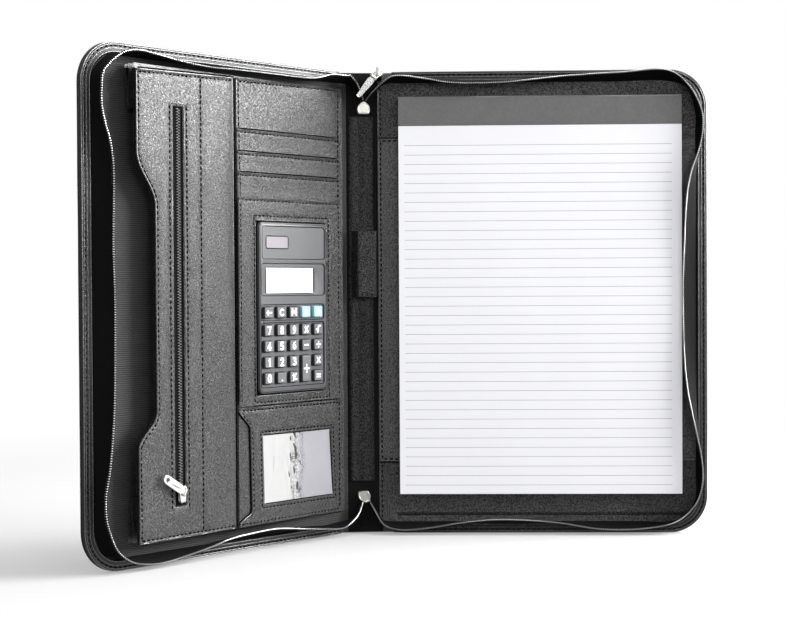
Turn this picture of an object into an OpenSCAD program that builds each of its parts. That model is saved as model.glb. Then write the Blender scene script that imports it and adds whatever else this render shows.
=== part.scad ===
// Zip-round portfolio case for an A4 writing pad, standing open on its bottom
// edges: a right cover with the pad, a spine, and a left cover with an
// expanding document pocket, card slots, a calculator and a card window.
//
// Every panel is drawn flat, in the plane of its own lining, and is then folded
// about its creases. +Z is up, -Y is the inner side of the right cover.

/* [Covers] */
// Height of the case
case_h = 346; // [338:1:356]
// Width of each cover, from crease to outer edge
cover_w = 238; // [236:1:250]
// Thickness of a cover, leather to edge binding
cover_t = 6; // [5.4:0.2:7]
// Outer corner radius of the covers
corner_r = 28; // [22:1:34]
// Width of the sewn edge binding on the inner side
binding_w = 7.7; // [6:0.1:8]
// Distance between the two creases of the spine
spine_w = 36; // [34:0.5:40]

/* [Folding] */
// Angle between the spine and the right cover
spine_fold = 6; // [0:1:90]
// Angle between the left cover and the spine
left_fold = 43; // [0:1:90]
// Angle by which the document pocket stands open
pocket_fold = 3.5; // [1:0.5:12]

/* [Zip] */
// Height of each zip tape above the edge binding
tape_h = 13.1; // [10:0.1:14]
// Thickness of the zip tape
tape_t = 1.2; // [0.8:0.1:1.6]
// Distance from each crease to the standing zip tape
tape_start = 23; // [23:1:40]

/* [Writing pad] */
// Width of the pad
pad_w = 210; // [200:1:212]
// Height of the pad
pad_h = 297; // [280:1:300]
// Height of the strip that binds the sheets
pad_strip = 22; // [16:1:30]

/* [Calculator] */
// Width of the calculator
calc_w = 71; // [66:1:74]
// Height of the calculator
calc_h = 121; // [120:1:123]
// Width of one key
key_w = 9.4; // [8:0.1:10]
// Height of one key
key_h = 8.2; // [7:0.1:8.6]

/* [Hidden] */
$fn = 48;

leather = "#232325";
fabric = "#2b2b2e";
board = "#8a7a60";
silver = "#c9cacc";
paper = "#f4f4f6";

axis_y = 3;               // the creases' hinge axes, behind the binding's face
skin = 1.2;               // leather
lin_y = 0.8;              // lining face, below the face of the binding
spine_y = 2.4;            // inner face of the spine
org_s = 6;                // the pocket front's hinge line, from the left crease
pad_x = 8.3;              // pad's left edge
pad_z = 29.8;             // pad's bottom edge
band_z0 = 54;             // sleeve that the pad's backing slides into
band_z1 = 296;
tape_in = binding_w + tape_t;
bead = 1.6;               // depth of the row of teeth
top_y = -tape_h;          // where the tape ends and the teeth begin

// Document pocket front
org_z0 = 17.5;
org_zr = 333.5;           // top at the hinge side
org_zl = 328.5;           // top at the outer side
org_w = 206;              // outer edge
raised_s = 116;           // where the raised outer half begins
base_h = 1.2;
zip_s = 168.8;            // middle of the pocket's zip
zip_z0 = 40;
zip_z1 = 306;

// Calculator
calc_s = 24.5;            // edge nearest the spine
calc_z = 110.3;
calc_h0 = 1.2;
calc_h1 = 5.6;
key_top = 7.4;
key_s = [87.7, 74.8, 61.9, 49.0, 36.1];       // columns, from the outer edge
key_z = [167.4, 154.8, 143.5, 132.2, 120.9];  // rows, from the top

// Origin: middle of the rest pose's box, at the bottom
function rot2(p, a) = [p[0]*cos(a) - p[1]*sin(a), p[0]*sin(a) + p[1]*cos(a)];
function spine_pt(p) = rot2([p[0], p[1] - axis_y], spine_fold) + [0, axis_y];
function left_pt(p) = spine_pt(rot2([p[0], p[1] - axis_y], left_fold) + [-spine_w, axis_y]);
box_x0 = left_pt([-cover_w, cover_t])[0];
box_x1 = cover_w;
box_y0 = min(left_pt([-cover_w + 6.9, top_y - bead])[1], left_pt([-cover_w, 0])[1]);
box_y1 = cover_t;
mid = [-(box_x0 + box_x1)/2, -(box_y0 + box_y1)/2, 0];

module right_frame() translate(mid) children();
module spine_frame() right_frame()
  translate([0, axis_y, 0]) rotate([0, 0, spine_fold]) translate([0, -axis_y, 0]) children();
module left_frame() spine_frame()
  translate([-spine_w, axis_y, 0]) rotate([0, 0, left_fold]) translate([0, -axis_y, 0]) children();
module pocket_frame() left_frame()
  translate([-org_s, 0, 0]) rotate([0, 0, pocket_fold]) translate([org_s, 0, 0]) children();

// A flat outline drawn in width and height, made solid from depth y0 to y1
module slab(y0, y1) translate([0, y1, 0]) rotate([90, 0, 0]) linear_extrude(height = y1 - y0) children();

// Rectangle between two distances from the crease, mirrored for the left side
module rect_s(s0, s1, z0, z1, left = true)
  translate([left ? -s1 : s0, z0]) square([s1 - s0, z1 - z0]);

// Rounded rectangle by its limits
module round_rect(x0, x1, z0, z1, r) union() {
  translate([x0 + r, z0]) square([x1 - x0 - 2*r, z1 - z0]);
  translate([x0, z0 + r]) square([x1 - x0, z1 - z0 - 2*r]);
  for (x = [x0 + r, x1 - r], z = [z0 + r, z1 - r]) translate([x, z]) circle(r = r);
}

// Cover outline, inset all round its three outer sides, from x0 outwards
module cover_outline(inset, x0) {
  r = corner_r - inset;
  x1 = cover_w - inset;
  z0 = inset;
  z1 = case_h - inset;
  union() {
    translate([x0, z0]) square([x1 - r - x0, z1 - z0]);
    translate([x1 - r - 1, z0 + r]) square([r + 1, z1 - z0 - 2*r]);
    for (z = [z0 + r, z1 - r]) translate([x1 - r, z]) circle(r = r, $fn = 96);
  }
}
module edge_ring(in0, in1, x0) difference() {
  cover_outline(in0, x0);
  cover_outline(in1, x0 - 1);
}

// ---- one cover, drawn to the right of its crease ----
module cover_shell() {
  slab(cover_t - skin, cover_t) cover_outline(0, 0.4);
  slab(lin_y, cover_t - skin) edge_ring(0, skin, 3);
  slab(0, lin_y) edge_ring(0, binding_w, 7);
}
module cover_board() slab(lin_y + 0.8, cover_t - skin) cover_outline(skin, 3);
module cover_lining() slab(lin_y, lin_y + 0.8) cover_outline(skin, 3);
module cover_tape() slab(top_y, lin_y) edge_ring(binding_w, tape_in, tape_start);
module cover_teeth() slab(top_y - bead, top_y) edge_ring(binding_w - 0.8, tape_in + 0.8, tape_start);

module right_cover_shell() color(leather) right_frame() cover_shell();
module right_cover_board() color(board) right_frame() cover_board();
module right_lining() color(fabric) right_frame() cover_lining();
module right_zip_tape() color(fabric) right_frame() cover_tape();
module right_zip_teeth() color(silver) right_frame() cover_teeth();
module left_cover_shell() color(leather) left_frame() mirror([1, 0, 0]) cover_shell();
module left_cover_board() color(board) left_frame() mirror([1, 0, 0]) cover_board();
module left_lining() color(fabric) left_frame() mirror([1, 0, 0]) cover_lining();
module left_zip_tape() color(fabric) left_frame() mirror([1, 0, 0]) cover_tape();
module left_zip_teeth() color(silver) left_frame() mirror([1, 0, 0]) cover_teeth();

// ---- pad and its sleeve ----
// Full-width leather band, sewn down at both ends, with the backing behind it
module pad_sleeve() color(leather) right_frame() {
  slab(-1.4, -0.4) translate([3.2, band_z0]) square([cover_w - tape_in - 0.4 - 3.2, band_z1 - band_z0]);
  slab(-0.4, lin_y) translate([3.2, band_z0]) square([4.4, band_z1 - band_z0]);
  slab(-0.4, lin_y) translate([pad_x + pad_w + 2, band_z0])
    square([cover_w - tape_in - 0.4 - pad_x - pad_w - 2, band_z1 - band_z0]);
}
module notepad_backing() color("#6d6a66") right_frame()
  slab(-0.2, 0.6) translate([pad_x, pad_z]) square([pad_w, pad_h - 0.6]);
module notepad_sheets() color(paper) right_frame()
  slab(-6.2, -1.6) translate([pad_x, pad_z]) square([pad_w, pad_h - 0.6]);
module notepad_binding() color("#3c3c3e") right_frame() {
  slab(-6.8, -6.2) translate([pad_x, pad_z + pad_h - pad_strip]) square([pad_w, pad_strip]);
  slab(-6.2, 0.6) translate([pad_x, pad_z + pad_h - 0.6]) square([pad_w, 0.6]);
  slab(-1.6, -0.2) translate([pad_x, pad_z + pad_h - pad_strip]) square([pad_w, pad_strip - 0.6]);
}
module notepad_top_sheet() color("white") right_frame()
  slab(-7.25, -6.95) translate([pad_x, pad_z + 0.4]) square([pad_w, pad_h - pad_strip - 0.8]);

// ---- spine ----
module spine_cover() color(leather) spine_frame()
  slab(cover_t - skin, cover_t) translate([-spine_w + 0.4, 0.6]) square([spine_w - 0.8, case_h - 1.2]);
// Padded lining, with the sewn-down tape ends and the stub that carries the slider
module spine_lining() color(fabric) spine_frame() {
  slab(spine_y, cover_t - skin) translate([-spine_w + 3.4, 0.6]) square([spine_w - 6.8, case_h - 1.2]);
  for (z = [5, 323.8]) slab(spine_y - 1, spine_y) translate([-22, z]) square([7.4, z > 100 ? 17 : 17.3]);
  slab(-11.5, spine_y) translate([-12, 339.6]) square([7, 1.2]);
}
loop_x0 = -28.4;
loop_x1 = -8.2;
loop_y1 = -4.9;
module pen_loop() color(leather) spine_frame() translate([0, 0, 177.5])
  linear_extrude(height = 49.5) difference() {
    round_rect(loop_x0, loop_x1, loop_y1, spine_y, 3.3);
    round_rect(loop_x0 + 1.2, loop_x1 - 1.2, loop_y1 + 1.2, spine_y - 1.2, 2.1);
  }
// Metal clamps on the two ends of the zip: straight on one side, pointed on the other
module end_tab() slab(-0.4, spine_y) union() {
  translate([-4.7, 0]) square([9.4, 6.2]);
  polygon([[-4.7, 6.2], [4.7, 6.2], [2.2, 9.6], [-2.2, 9.6]]);
}
module zip_end_tabs() color(silver) spine_frame() {
  translate([-18.3, 0, 314.2]) end_tab();
  translate([-19.3, 0, 31.9]) mirror([0, 0, 1]) end_tab();
}

// Main slider, turned down towards the end of the zip, and its pull
pin_r = 0.6;
slider_at = [-8.7, 0, 343];
module slider_turn() spine_frame() translate(slider_at) rotate([0, 45, 0]) children();
module main_zip_slider() color(silver) slider_turn() difference() {
  union() {
    translate([0, 0, 0]) slab(-16.5, -14.8) round_rect(-3.6, 3.6, -3.2, 3.2, 1.2);
    slab(-14.8, -13.2) translate([-0.7, -2.4]) square([1.4, 4.8]);
    slab(-13.2, -11.5) round_rect(-3.6, 3.6, -3.2, 3.2, 1.2);
    for (x = [-2.9, 1.9]) slab(-18.4, -16.5) translate([x, -5.6]) square([1, 6.6]);
    for (x = [-2.9, 1.9]) slab(-16.5, -15.2) translate([x, -5.6]) square([1, 2.6]);
    translate([-2.4, -17.5, -4.5]) rotate([0, 90, 0]) cylinder(r = pin_r, h = 4.8);
  }
}
module main_zip_pull() color(silver) slider_turn() difference() {
  union() {
    translate([-1.7, -17.5, -4.5]) rotate([0, 90, 0]) cylinder(r = 1.3, h = 3.4);
    slab(-18.05, -16.95) union() {
      translate([-1.7, -7.4]) square([3.4, 2.9]);
      polygon([[-2.6, -7.4], [2.6, -7.4], [1.6, -21.4], [-1.6, -21.4]]);
      translate([0, -21.4]) circle(r = 1.6);
    }
  }
  translate([-3, -17.5, -4.5]) rotate([0, 90, 0]) cylinder(r = pin_r + 0.15, h = 6);
}

// ---- document pocket ----
function pocket_line(s) = [-org_s - (s - org_s)*cos(pocket_fold), -(s - org_s)*sin(pocket_fold) + 0.02];
// Gussets along the top and bottom of the pocket, opening towards the outer edge
module pocket_bellows() color(leather) left_frame()
  for (z = [20, 325.4]) translate([0, 0, z]) linear_extrude(height = 1.2)
    polygon([[-9, lin_y], [-203, lin_y], pocket_line(203), pocket_line(9)]);

// Outer edge of the pocket: straight, then drawn in by a long thumb cut
cut_in = 16;
s_low = 80;               // S curves' ends
s_high = 274;
module s_curve_cut() {
  // smooth cosine S from the straight edge into the cut, both ends
  n = 14;
  pts_lo = [for (i = [0:n]) [-org_w + cut_in*(1 - cos(180*i/n))/2, s_low + 23*i/n]];
  pts_hi = [for (i = [0:n]) [-org_w + cut_in*(1 + cos(180*i/n))/2, s_high - 35 + 35*i/n]];
  polygon(concat([[-org_w - 2, s_low]], pts_lo, pts_hi, [[-org_w - 2, s_high]]));
}
module pocket_outline(s0, s1) difference() {
  polygon([[-s0, org_z0], [-s0, org_zr], [-s1, org_zl + (org_zr - org_zl)*(org_w - s1)/(org_w - 3.2)], [-s1, org_z0]]);
  s_curve_cut();
}
module file_pocket_front() color(leather) pocket_frame() {
  slab(-base_h, 0) pocket_outline(3.2, org_w);
  slab(-2*base_h, -base_h) difference() {
    polygon([[-raised_s, org_z0], [-raised_s, org_zl + 2.2], [-org_w, org_zl], [-org_w, org_z0]]);
    s_curve_cut();
    translate([-zip_s - 4.5, zip_z0]) square([9, zip_z1 - zip_z0]);
  }
}
module pocket_zip() color(fabric) pocket_frame() {
  slab(-1.7, -base_h) translate([-zip_s - 4.5, zip_z0]) square([9, zip_z1 - zip_z0]);
  slab(-3, -1.7) translate([-zip_s - 1.2, zip_z0 + 1]) square([2.4, zip_z1 - zip_z0 - 2]);
}
// Pocket slider straddles the coil; its pull lies up and outwards
pull_turn = 58;           // turn of the pull from straight up, outwards
pslider_z = 48;
module pull_frame() pocket_frame() translate([-zip_s, 0, pslider_z + 1]) rotate([0, -pull_turn, 0]) children();
module pocket_zip_slider() color(silver) union() {
  pocket_frame() {
    slab(-4.6, -3.3) round_rect(-zip_s - 3.4, -zip_s + 3.4, pslider_z - 6, pslider_z + 5, 1.6);
    for (x = [-3.2, 1.6]) slab(-3.3, -2) translate([-zip_s + x, pslider_z - 5]) square([1.6, 9]);
  }
  pull_frame() {
    for (x = [-2.8, 1.9]) slab(-7.2, -4.6) translate([x, -0.9]) square([0.9, 1.8]);
    translate([-2.4, -6.2, 0]) rotate([0, 90, 0]) cylinder(r = pin_r, h = 4.8);
  }
}
module pocket_zip_pull() color(silver) pull_frame() difference() {
  union() {
    translate([-1.7, -6.2, 0]) rotate([0, 90, 0]) cylinder(r = 1.2, h = 3.4);
    slab(-6.7, -5.7) union() {
      translate([-1.7, 0]) square([3.4, 3.2]);
      round_rect(-3.1, 3.1, 2.2, 22, 2.2);
    }
  }
  translate([-3, -6.2, 0]) rotate([0, 90, 0]) cylinder(r = pin_r + 0.15, h = 6);
  translate([0, -4, 18.4]) rotate([90, 0, 0]) cylinder(r = 1.5, h = 4);
}

// ---- card slots, calculator panel, card window ----
slot_l = 113.5;
slot_z = [295.6, 280.2, 265.6];
module card_slots() color(leather) pocket_frame()
  for (i = [0:2]) slab(-base_h - 0.5*(i + 1), -base_h - 0.5*i) rect_s(3.2, slot_l, 236, slot_z[i]);
panel_top = 248.5;
module calculator_panel() color(leather) pocket_frame() {
  slab(-3.3, -2.7) rect_s(3.2, slot_l, 235.6, panel_top);
  slab(-3.3, -base_h) difference() {
    rect_s(3.2, slot_l, 102.6, 235.6);
    round_rect(-calc_s - calc_w - 0.3, -calc_s + 0.3, calc_z - 0.3, calc_z + calc_h + 0.3, 4.3);
  }
}
// Card pocket: sewn on three sides, open with a thumb notch towards the outer edge
module id_pocket() color(leather) pocket_frame() {
  slab(-2.7, -1.9) difference() {
    rect_s(3.2, slot_l, 18, 101.6);
    rect_s(17, 89.6, 32, 81);
    polygon([[-slot_l - 1, 20.5], [-slot_l, 20.5], [-slot_l + 10.5, 27.5],
      [-slot_l + 10.5, 87], [-slot_l, 97.5], [-slot_l - 1, 97.5]]);
  }
  slab(-1.9, -base_h) rect_s(3.2, 8, 18, 101.6);
  for (z = [18, 97.6]) slab(-1.9, -base_h) rect_s(8, slot_l, z, z + 4);
}
module id_window() color("#dfe3e8", 0.5) pocket_frame() slab(-1.9, -1.6) rect_s(13, 93.5, 28, 85);

module key_hole(i, j, tall) {
  s = key_s[i];
  z = key_z[j] - (tall ? (key_z[j] - key_z[j + 1])/2 : 0);
  h = key_h + (tall ? key_z[j] - key_z[j + 1] : 0);
  round_rect(-s - key_w/2 - 0.25, -s + key_w/2 + 0.25, z - h/2 - 0.25, z + h/2 + 0.25, 1.25);
}
display_s = [39.2, 88.4];
display_z = [181, 199.2];
solar_s = [65.8, 87.8];
solar_z = [213.2, 221.2];
module calculator_case() color("#3a3b3e") pocket_frame() difference() {
  slab(-calc_h1, -calc_h0) round_rect(-calc_s - calc_w, -calc_s, calc_z, calc_z + calc_h, 4);
  slab(-4.4, -calc_h0 + 1) round_rect(-calc_s - calc_w + 1.2, -calc_s - 1.2, calc_z + 1.2, calc_z + calc_h - 1.2, 2.8);
  slab(-calc_h1 - 1, -4) {
    for (j = [0:4], i = [0:4]) if (!(i == 3 && j >= 3)) key_hole(i, j, false);
    key_hole(3, 3, true);
    rect_s(display_s[0], display_s[1], display_z[0], display_z[1]);
    rect_s(solar_s[0], solar_s[1], solar_z[0], solar_z[1]);
  }
}
module calculator_back() color("#2c2d2f") pocket_frame()
  slab(-1.8, -calc_h0) round_rect(-calc_s - calc_w + 1.2, -calc_s - 1.2, calc_z + 1.2, calc_z + calc_h - 1.2, 2.8);
// Circuit board on the back, and the rubber sheet that the keys press on
module calculator_pcb() color("#2f5b3c") pocket_frame()
  slab(-2.2, -1.8) round_rect(-calc_s - calc_w + 2, -calc_s - 2, calc_z + 2, calc_z + calc_h - 2, 2);
module keypad_membrane() color("#4a4b4e") pocket_frame()
  slab(-2.5, -2.2) round_rect(-calc_s - calc_w + 2.6, -calc_s - 2.6, calc_z + 2.6, key_z[0] + key_h/2 + 2, 1.5);
module window_block(s, z) {
  slab(-4.4, -3.5) rect_s(s[0] - 1.5, s[1] + 1.5, z[0] - 1.5, z[1] + 1.5);
  slab(-5.1, -4.4) rect_s(s[0] + 0.1, s[1] - 0.1, z[0] + 0.1, z[1] - 0.1);
}
module calculator_display() color("#d9dde0") pocket_frame() window_block(display_s, display_z);
module solar_cell() color("#7c7f88") pocket_frame() window_block(solar_s, solar_z);

// One key: a cap above the case and a flange that keeps it in
module key(i, j, shade = "#8c8d90", tall = false) color(shade) pocket_frame() {
  s = key_s[i];
  z = key_z[j] - (tall ? (key_z[j] - key_z[j + 1])/2 : 0);
  h = key_h + (tall ? key_z[j] - key_z[j + 1] : 0);
  slab(-key_top, -4.2) round_rect(-s - key_w/2, -s + key_w/2, z - h/2, z + h/2, 1);
  slab(-4.2, -3.4) round_rect(-s - key_w/2 - 0.6, -s + key_w/2 + 0.6, z - h/2 - 0.6, z + h/2 + 0.6, 1.4);
}

right_cover_shell();
right_cover_board();
right_lining();
pad_sleeve();
right_zip_tape();
right_zip_teeth();
notepad_backing();
notepad_sheets();
notepad_binding();
notepad_top_sheet();
spine_cover();
spine_lining();
pen_loop();
zip_end_tabs();
main_zip_slider();
main_zip_pull();
left_cover_shell();
left_cover_board();
left_lining();
left_zip_tape();
left_zip_teeth();
pocket_bellows();
file_pocket_front();
pocket_zip();
pocket_zip_slider();
pocket_zip_pull();
card_slots();
calculator_panel();
id_pocket();
id_window();
calculator_case();
calculator_back();
calculator_display();
solar_cell();
calculator_pcb();
keypad_membrane();
key(0, 0);  // key_off
key(1, 0);  // key_clear
key(2, 0);  // key_memory
key(3, 0, "#8fd0e0");  // key_mode
key(4, 0, "#8fd0e0");  // key_on
key(0, 1);  // key_7
key(1, 1);  // key_8
key(2, 1);  // key_9
key(3, 1);  // key_percent
key(4, 1);  // key_root
key(0, 2);  // key_4
key(1, 2);  // key_5
key(2, 2);  // key_6
key(3, 2);  // key_minus
key(4, 2);  // key_divide
key(0, 3);  // key_1
key(1, 3);  // key_2
key(2, 3);  // key_3
key(3, 3, "#8c8d90", true);  // key_plus
key(4, 3);  // key_multiply
key(0, 4);  // key_0
key(1, 4);  // key_point
key(2, 4);  // key_sign
key(4, 4);  // key_equals
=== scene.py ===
import bpy, bmesh, math
import numpy as np
from mathutils import Vector, Matrix
from mathutils.geometry import tessellate_polygon


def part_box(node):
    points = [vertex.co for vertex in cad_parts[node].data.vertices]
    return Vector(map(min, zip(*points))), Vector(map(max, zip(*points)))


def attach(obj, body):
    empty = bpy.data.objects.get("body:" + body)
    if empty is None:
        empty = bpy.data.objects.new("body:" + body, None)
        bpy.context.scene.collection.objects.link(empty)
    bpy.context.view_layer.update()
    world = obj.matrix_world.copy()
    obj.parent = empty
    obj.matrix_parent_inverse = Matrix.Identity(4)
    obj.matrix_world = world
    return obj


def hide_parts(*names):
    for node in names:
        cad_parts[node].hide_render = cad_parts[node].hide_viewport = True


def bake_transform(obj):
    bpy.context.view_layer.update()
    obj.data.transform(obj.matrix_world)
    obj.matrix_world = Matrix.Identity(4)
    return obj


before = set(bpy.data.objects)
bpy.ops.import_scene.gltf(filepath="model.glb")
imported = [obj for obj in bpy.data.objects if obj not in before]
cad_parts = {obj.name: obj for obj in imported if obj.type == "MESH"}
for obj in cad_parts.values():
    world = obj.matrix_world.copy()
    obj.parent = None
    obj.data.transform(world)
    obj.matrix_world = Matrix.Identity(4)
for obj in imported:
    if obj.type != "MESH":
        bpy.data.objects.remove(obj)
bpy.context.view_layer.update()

# ------------------------------------------------------------------ design, in millimetres
H, W, T, R = 346.0, 238.0, 6.0, 28.0      # cover height, width, thickness, corner
BIND = 7.7                                # edge binding
SP, AX = 36.0, 3.0                        # spine width, hinge axes behind the binding's face
F1, F2, F3 = 6.0, 43.0, 3.5               # folds at rest
ORG = 6.0                                 # pocket's hinge line, from the left crease
_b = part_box("right_cover_shell")
MX = _b[1][0] * 1000 - W
MY = _b[1][1] * 1000 - T


def _rot(p, deg):
    a = math.radians(deg); c, s = math.cos(a), math.sin(a)
    q = p.copy(); q[:, 0] = p[:, 0] * c - p[:, 1] * s; q[:, 1] = p[:, 0] * s + p[:, 1] * c
    return q


def _arr(p):
    return np.atleast_2d(np.array(p, float))


def fr_right(p):
    return (_arr(p) + [MX, MY, 0]) / 1000.0


def _spine(p):
    return _rot(p - [0, AX, 0], F1) + [0, AX, 0]


def fr_spine(p):
    return (_spine(_arr(p)) + [MX, MY, 0]) / 1000.0


def _left(p):
    return _spine(_rot(p - [0, AX, 0], F2) + [-SP, AX, 0])


def fr_left(p):
    return (_left(_arr(p)) + [MX, MY, 0]) / 1000.0


def fr_pocket(p):
    q = _rot(_arr(p) + [ORG, 0, 0], F3) - [ORG, 0, 0]
    return (_left(q) + [MX, MY, 0]) / 1000.0


def smooth01(t):
    t = np.clip(t, 0, 1)
    return t * t * (3 - 2 * t)


def cross_right(p):
    """Right cover's coordinates, carried on over the crease on to the spine."""
    p = _arr(p)
    w = smooth01((4 - p[:, 0]) / 8)[:, None]
    return (1 - w) * fr_right(p) + w * fr_spine(p)


def cross_left(p):
    """(distance from the left crease, y, z), carried on over the crease on to the spine."""
    p = _arr(p)
    w = smooth01((5 - p[:, 0]) / 10)[:, None]
    a = p.copy(); a[:, 0] = -p[:, 0]
    b = p.copy(); b[:, 0] = -SP - p[:, 0]
    return (1 - w) * fr_left(a) + w * fr_spine(b)


FRAMES = {"right_cover": fr_right, "spine": fr_spine, "left_cover": fr_left, "document_pocket": fr_pocket}

# ------------------------------------------------------------------ camera
cam_data = bpy.data.cameras.new("camera")
cam = bpy.data.objects.new("camera", cam_data)
bpy.context.scene.collection.objects.link(cam)
bpy.context.scene.camera = cam
CAM = dict(f=1595.4, x=40.13, y=-1197.1, z=186.82, yaw=-1.758, pitch=1.095, roll=-0.313)
cam_data.sensor_width = 36.0
cam_data.lens = CAM["f"] / 786.0 * 36.0
cam_data.clip_start = 0.05
cam_data.clip_end = 50
_y, _p, _r = (math.radians(CAM[k]) for k in ("yaw", "pitch", "roll"))
fwd = Vector((math.sin(_y) * math.cos(_p), math.cos(_y) * math.cos(_p), -math.sin(_p)))
rt = fwd.cross(Vector((0, 0, 1))).normalized()
up = rt.cross(fwd)
rt2 = rt * math.cos(_r) + up * math.sin(_r)
up2 = up * math.cos(_r) - rt * math.sin(_r)
M = Matrix((rt2, up2, -fwd)).transposed().to_4x4()
M.translation = Vector(((CAM["x"] + MX) / 1000, (CAM["y"] + MY) / 1000, CAM["z"] / 1000))
cam.matrix_world = M


# ------------------------------------------------------------------ materials
class Mat:
    def __init__(self, name):
        self.m = bpy.data.materials.new(name)
        self.m.use_nodes = True
        self.nt = self.m.node_tree
        self.nt.nodes.clear()
        self.out = self.n("ShaderNodeOutputMaterial")
        self.b = self.n("ShaderNodeBsdfPrincipled")
        self.l(self.b.outputs[0], self.out.inputs[0])
        self.tc = self.n("ShaderNodeTexCoord")
        self.obj = self.tc.outputs["Object"]

    def n(self, kind, **kw):
        x = self.nt.nodes.new(kind)
        for k, v in kw.items():
            setattr(x, k, v)
        return x

    def l(self, a, b):
        self.nt.links.new(a, b)

    def set(self, **kw):
        names = dict(rough="Roughness", metal="Metallic", spec="Specular IOR Level", ior="IOR", coat="Coat Weight",
                     coat_rough="Coat Roughness", sheen="Sheen Weight", sheen_rough="Sheen Roughness", alpha="Alpha",
                     trans="Transmission Weight", emit="Emission Strength", sss="Subsurface Weight")
        for k, v in kw.items():
            self.b.inputs[names[k]].default_value = v

    def math(self, op, a, b=None, c=None, clamp=False):
        x = self.n("ShaderNodeMath", operation=op, use_clamp=clamp)
        for i, v in enumerate((a, b, c)):
            if v is None:
                continue
            if isinstance(v, (int, float)):
                x.inputs[i].default_value = v
            else:
                self.l(v, x.inputs[i])
        return x.outputs[0]

    def noise(self, scale, detail=3.0, rough=0.55, vec=None, dist=0.0):
        x = self.n("ShaderNodeTexNoise")
        x.inputs["Scale"].default_value = scale
        x.inputs["Detail"].default_value = detail
        x.inputs["Roughness"].default_value = rough
        x.inputs["Distortion"].default_value = dist
        self.l(vec or self.obj, x.inputs["Vector"])
        return x.outputs["Fac"]

    def voronoi(self, scale, feature="DISTANCE_TO_EDGE", vec=None, rand=1.0):
        x = self.n("ShaderNodeTexVoronoi", feature=feature)
        x.inputs["Scale"].default_value = scale
        x.inputs["Randomness"].default_value = rand
        self.l(vec or self.obj, x.inputs["Vector"])
        return x.outputs["Distance"]

    def remap(self, v, a, b, c, d, kind="SMOOTHSTEP"):
        x = self.n("ShaderNodeMapRange", interpolation_type=kind)
        self.l(v, x.inputs["Value"])
        for k, q in zip(("From Min", "From Max", "To Min", "To Max"), (a, b, c, d)):
            x.inputs[k].default_value = q
        return x.outputs["Result"]

    def mix(self, f, a, b):
        x = self.n("ShaderNodeMix", data_type="RGBA")
        if isinstance(f, (int, float)):
            x.inputs[0].default_value = f
        else:
            self.l(f, x.inputs[0])
        for i, v in ((6, a), (7, b)):
            if isinstance(v, (tuple, list)):
                x.inputs[i].default_value = (v[0], v[1], v[2], 1)
            else:
                self.l(v, x.inputs[i])
        return x.outputs[2]

    def bump(self, h, strength, dist, normal=None):
        x = self.n("ShaderNodeBump")
        x.inputs["Strength"].default_value = strength
        x.inputs["Distance"].default_value = dist
        self.l(h, x.inputs["Height"])
        if normal:
            self.l(normal, x.inputs["Normal"])
        return x.outputs[0]

    def xyz(self):
        x = self.n("ShaderNodeSeparateXYZ")
        self.l(self.obj, x.inputs[0])
        return x.outputs

    def color(self, c):
        self.l(c, self.b.inputs["Base Color"])

    def normal(self, n):
        self.l(n, self.b.inputs["Normal"])

    def rough(self, r):
        self.l(r, self.b.inputs["Roughness"])


def g(v):
    return (v, v, v)


def leather(name, col, rough=0.45, scale=760, bump=0.55, dist=0.0003, tint=(1, 1, 1), spec=0.5, glit=0.75, ior=1.55):
    m = Mat(name)
    # slightly warped cells make the pebbles
    nv = m.n("ShaderNodeTexNoise"); nv.inputs["Scale"].default_value = 420; nv.inputs["Detail"].default_value = 2
    m.l(m.obj, nv.inputs["Vector"])
    off = m.n("ShaderNodeVectorMath", operation="MULTIPLY_ADD")
    m.l(nv.outputs["Color"], off.inputs[0]); off.inputs[1].default_value = (0.0007, 0.0007, 0.0007); m.l(m.obj, off.inputs[2])
    d = m.voronoi(scale, vec=off.outputs[0])
    peb = m.remap(d, 0.0, 0.25, 0.0, 1.0)
    fine = m.noise(2600, 2)
    big = m.noise(70, 3)
    mid = m.noise(900, 2)
    h = m.math("ADD", m.math("MULTIPLY", peb, 1.0), m.math("MULTIPLY", fine, 0.25))
    h = m.math("ADD", h, m.math("MULTIPLY", mid, 0.7))
    m.normal(m.bump(h, bump, dist))
    lo = tuple(col * 0.25 * t for t in tint); hi = tuple(col * 1.5 * t for t in tint)
    f = m.math("ADD", m.math("MULTIPLY", peb, 0.8), m.math("MULTIPLY", big, 0.3), clamp=True)
    m.color(m.mix(f, lo, hi))
    # the creases between the pebbles are dull, their tops polished
    m.rough(m.math("ADD", m.math("MULTIPLY", mid, 0.12), m.math("ADD", m.math("MULTIPLY", peb, -0.20), rough + 0.10)))
    # gloss differs from pebble to pebble, so the grain glitters instead of shining evenly
    gl = m.noise(scale * 1.05, 1, vec=off.outputs[0])
    gl = m.remap(gl, 0.36, 0.64, 0.0, 1.0)
    gl = m.math("ADD", m.math("MULTIPLY", gl, glit), 1.0 - 0.5 * glit)
    m.l(m.math("MULTIPLY", gl, spec), m.b.inputs["Specular IOR Level"])
    m.set(ior=ior)
    return m.m


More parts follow.
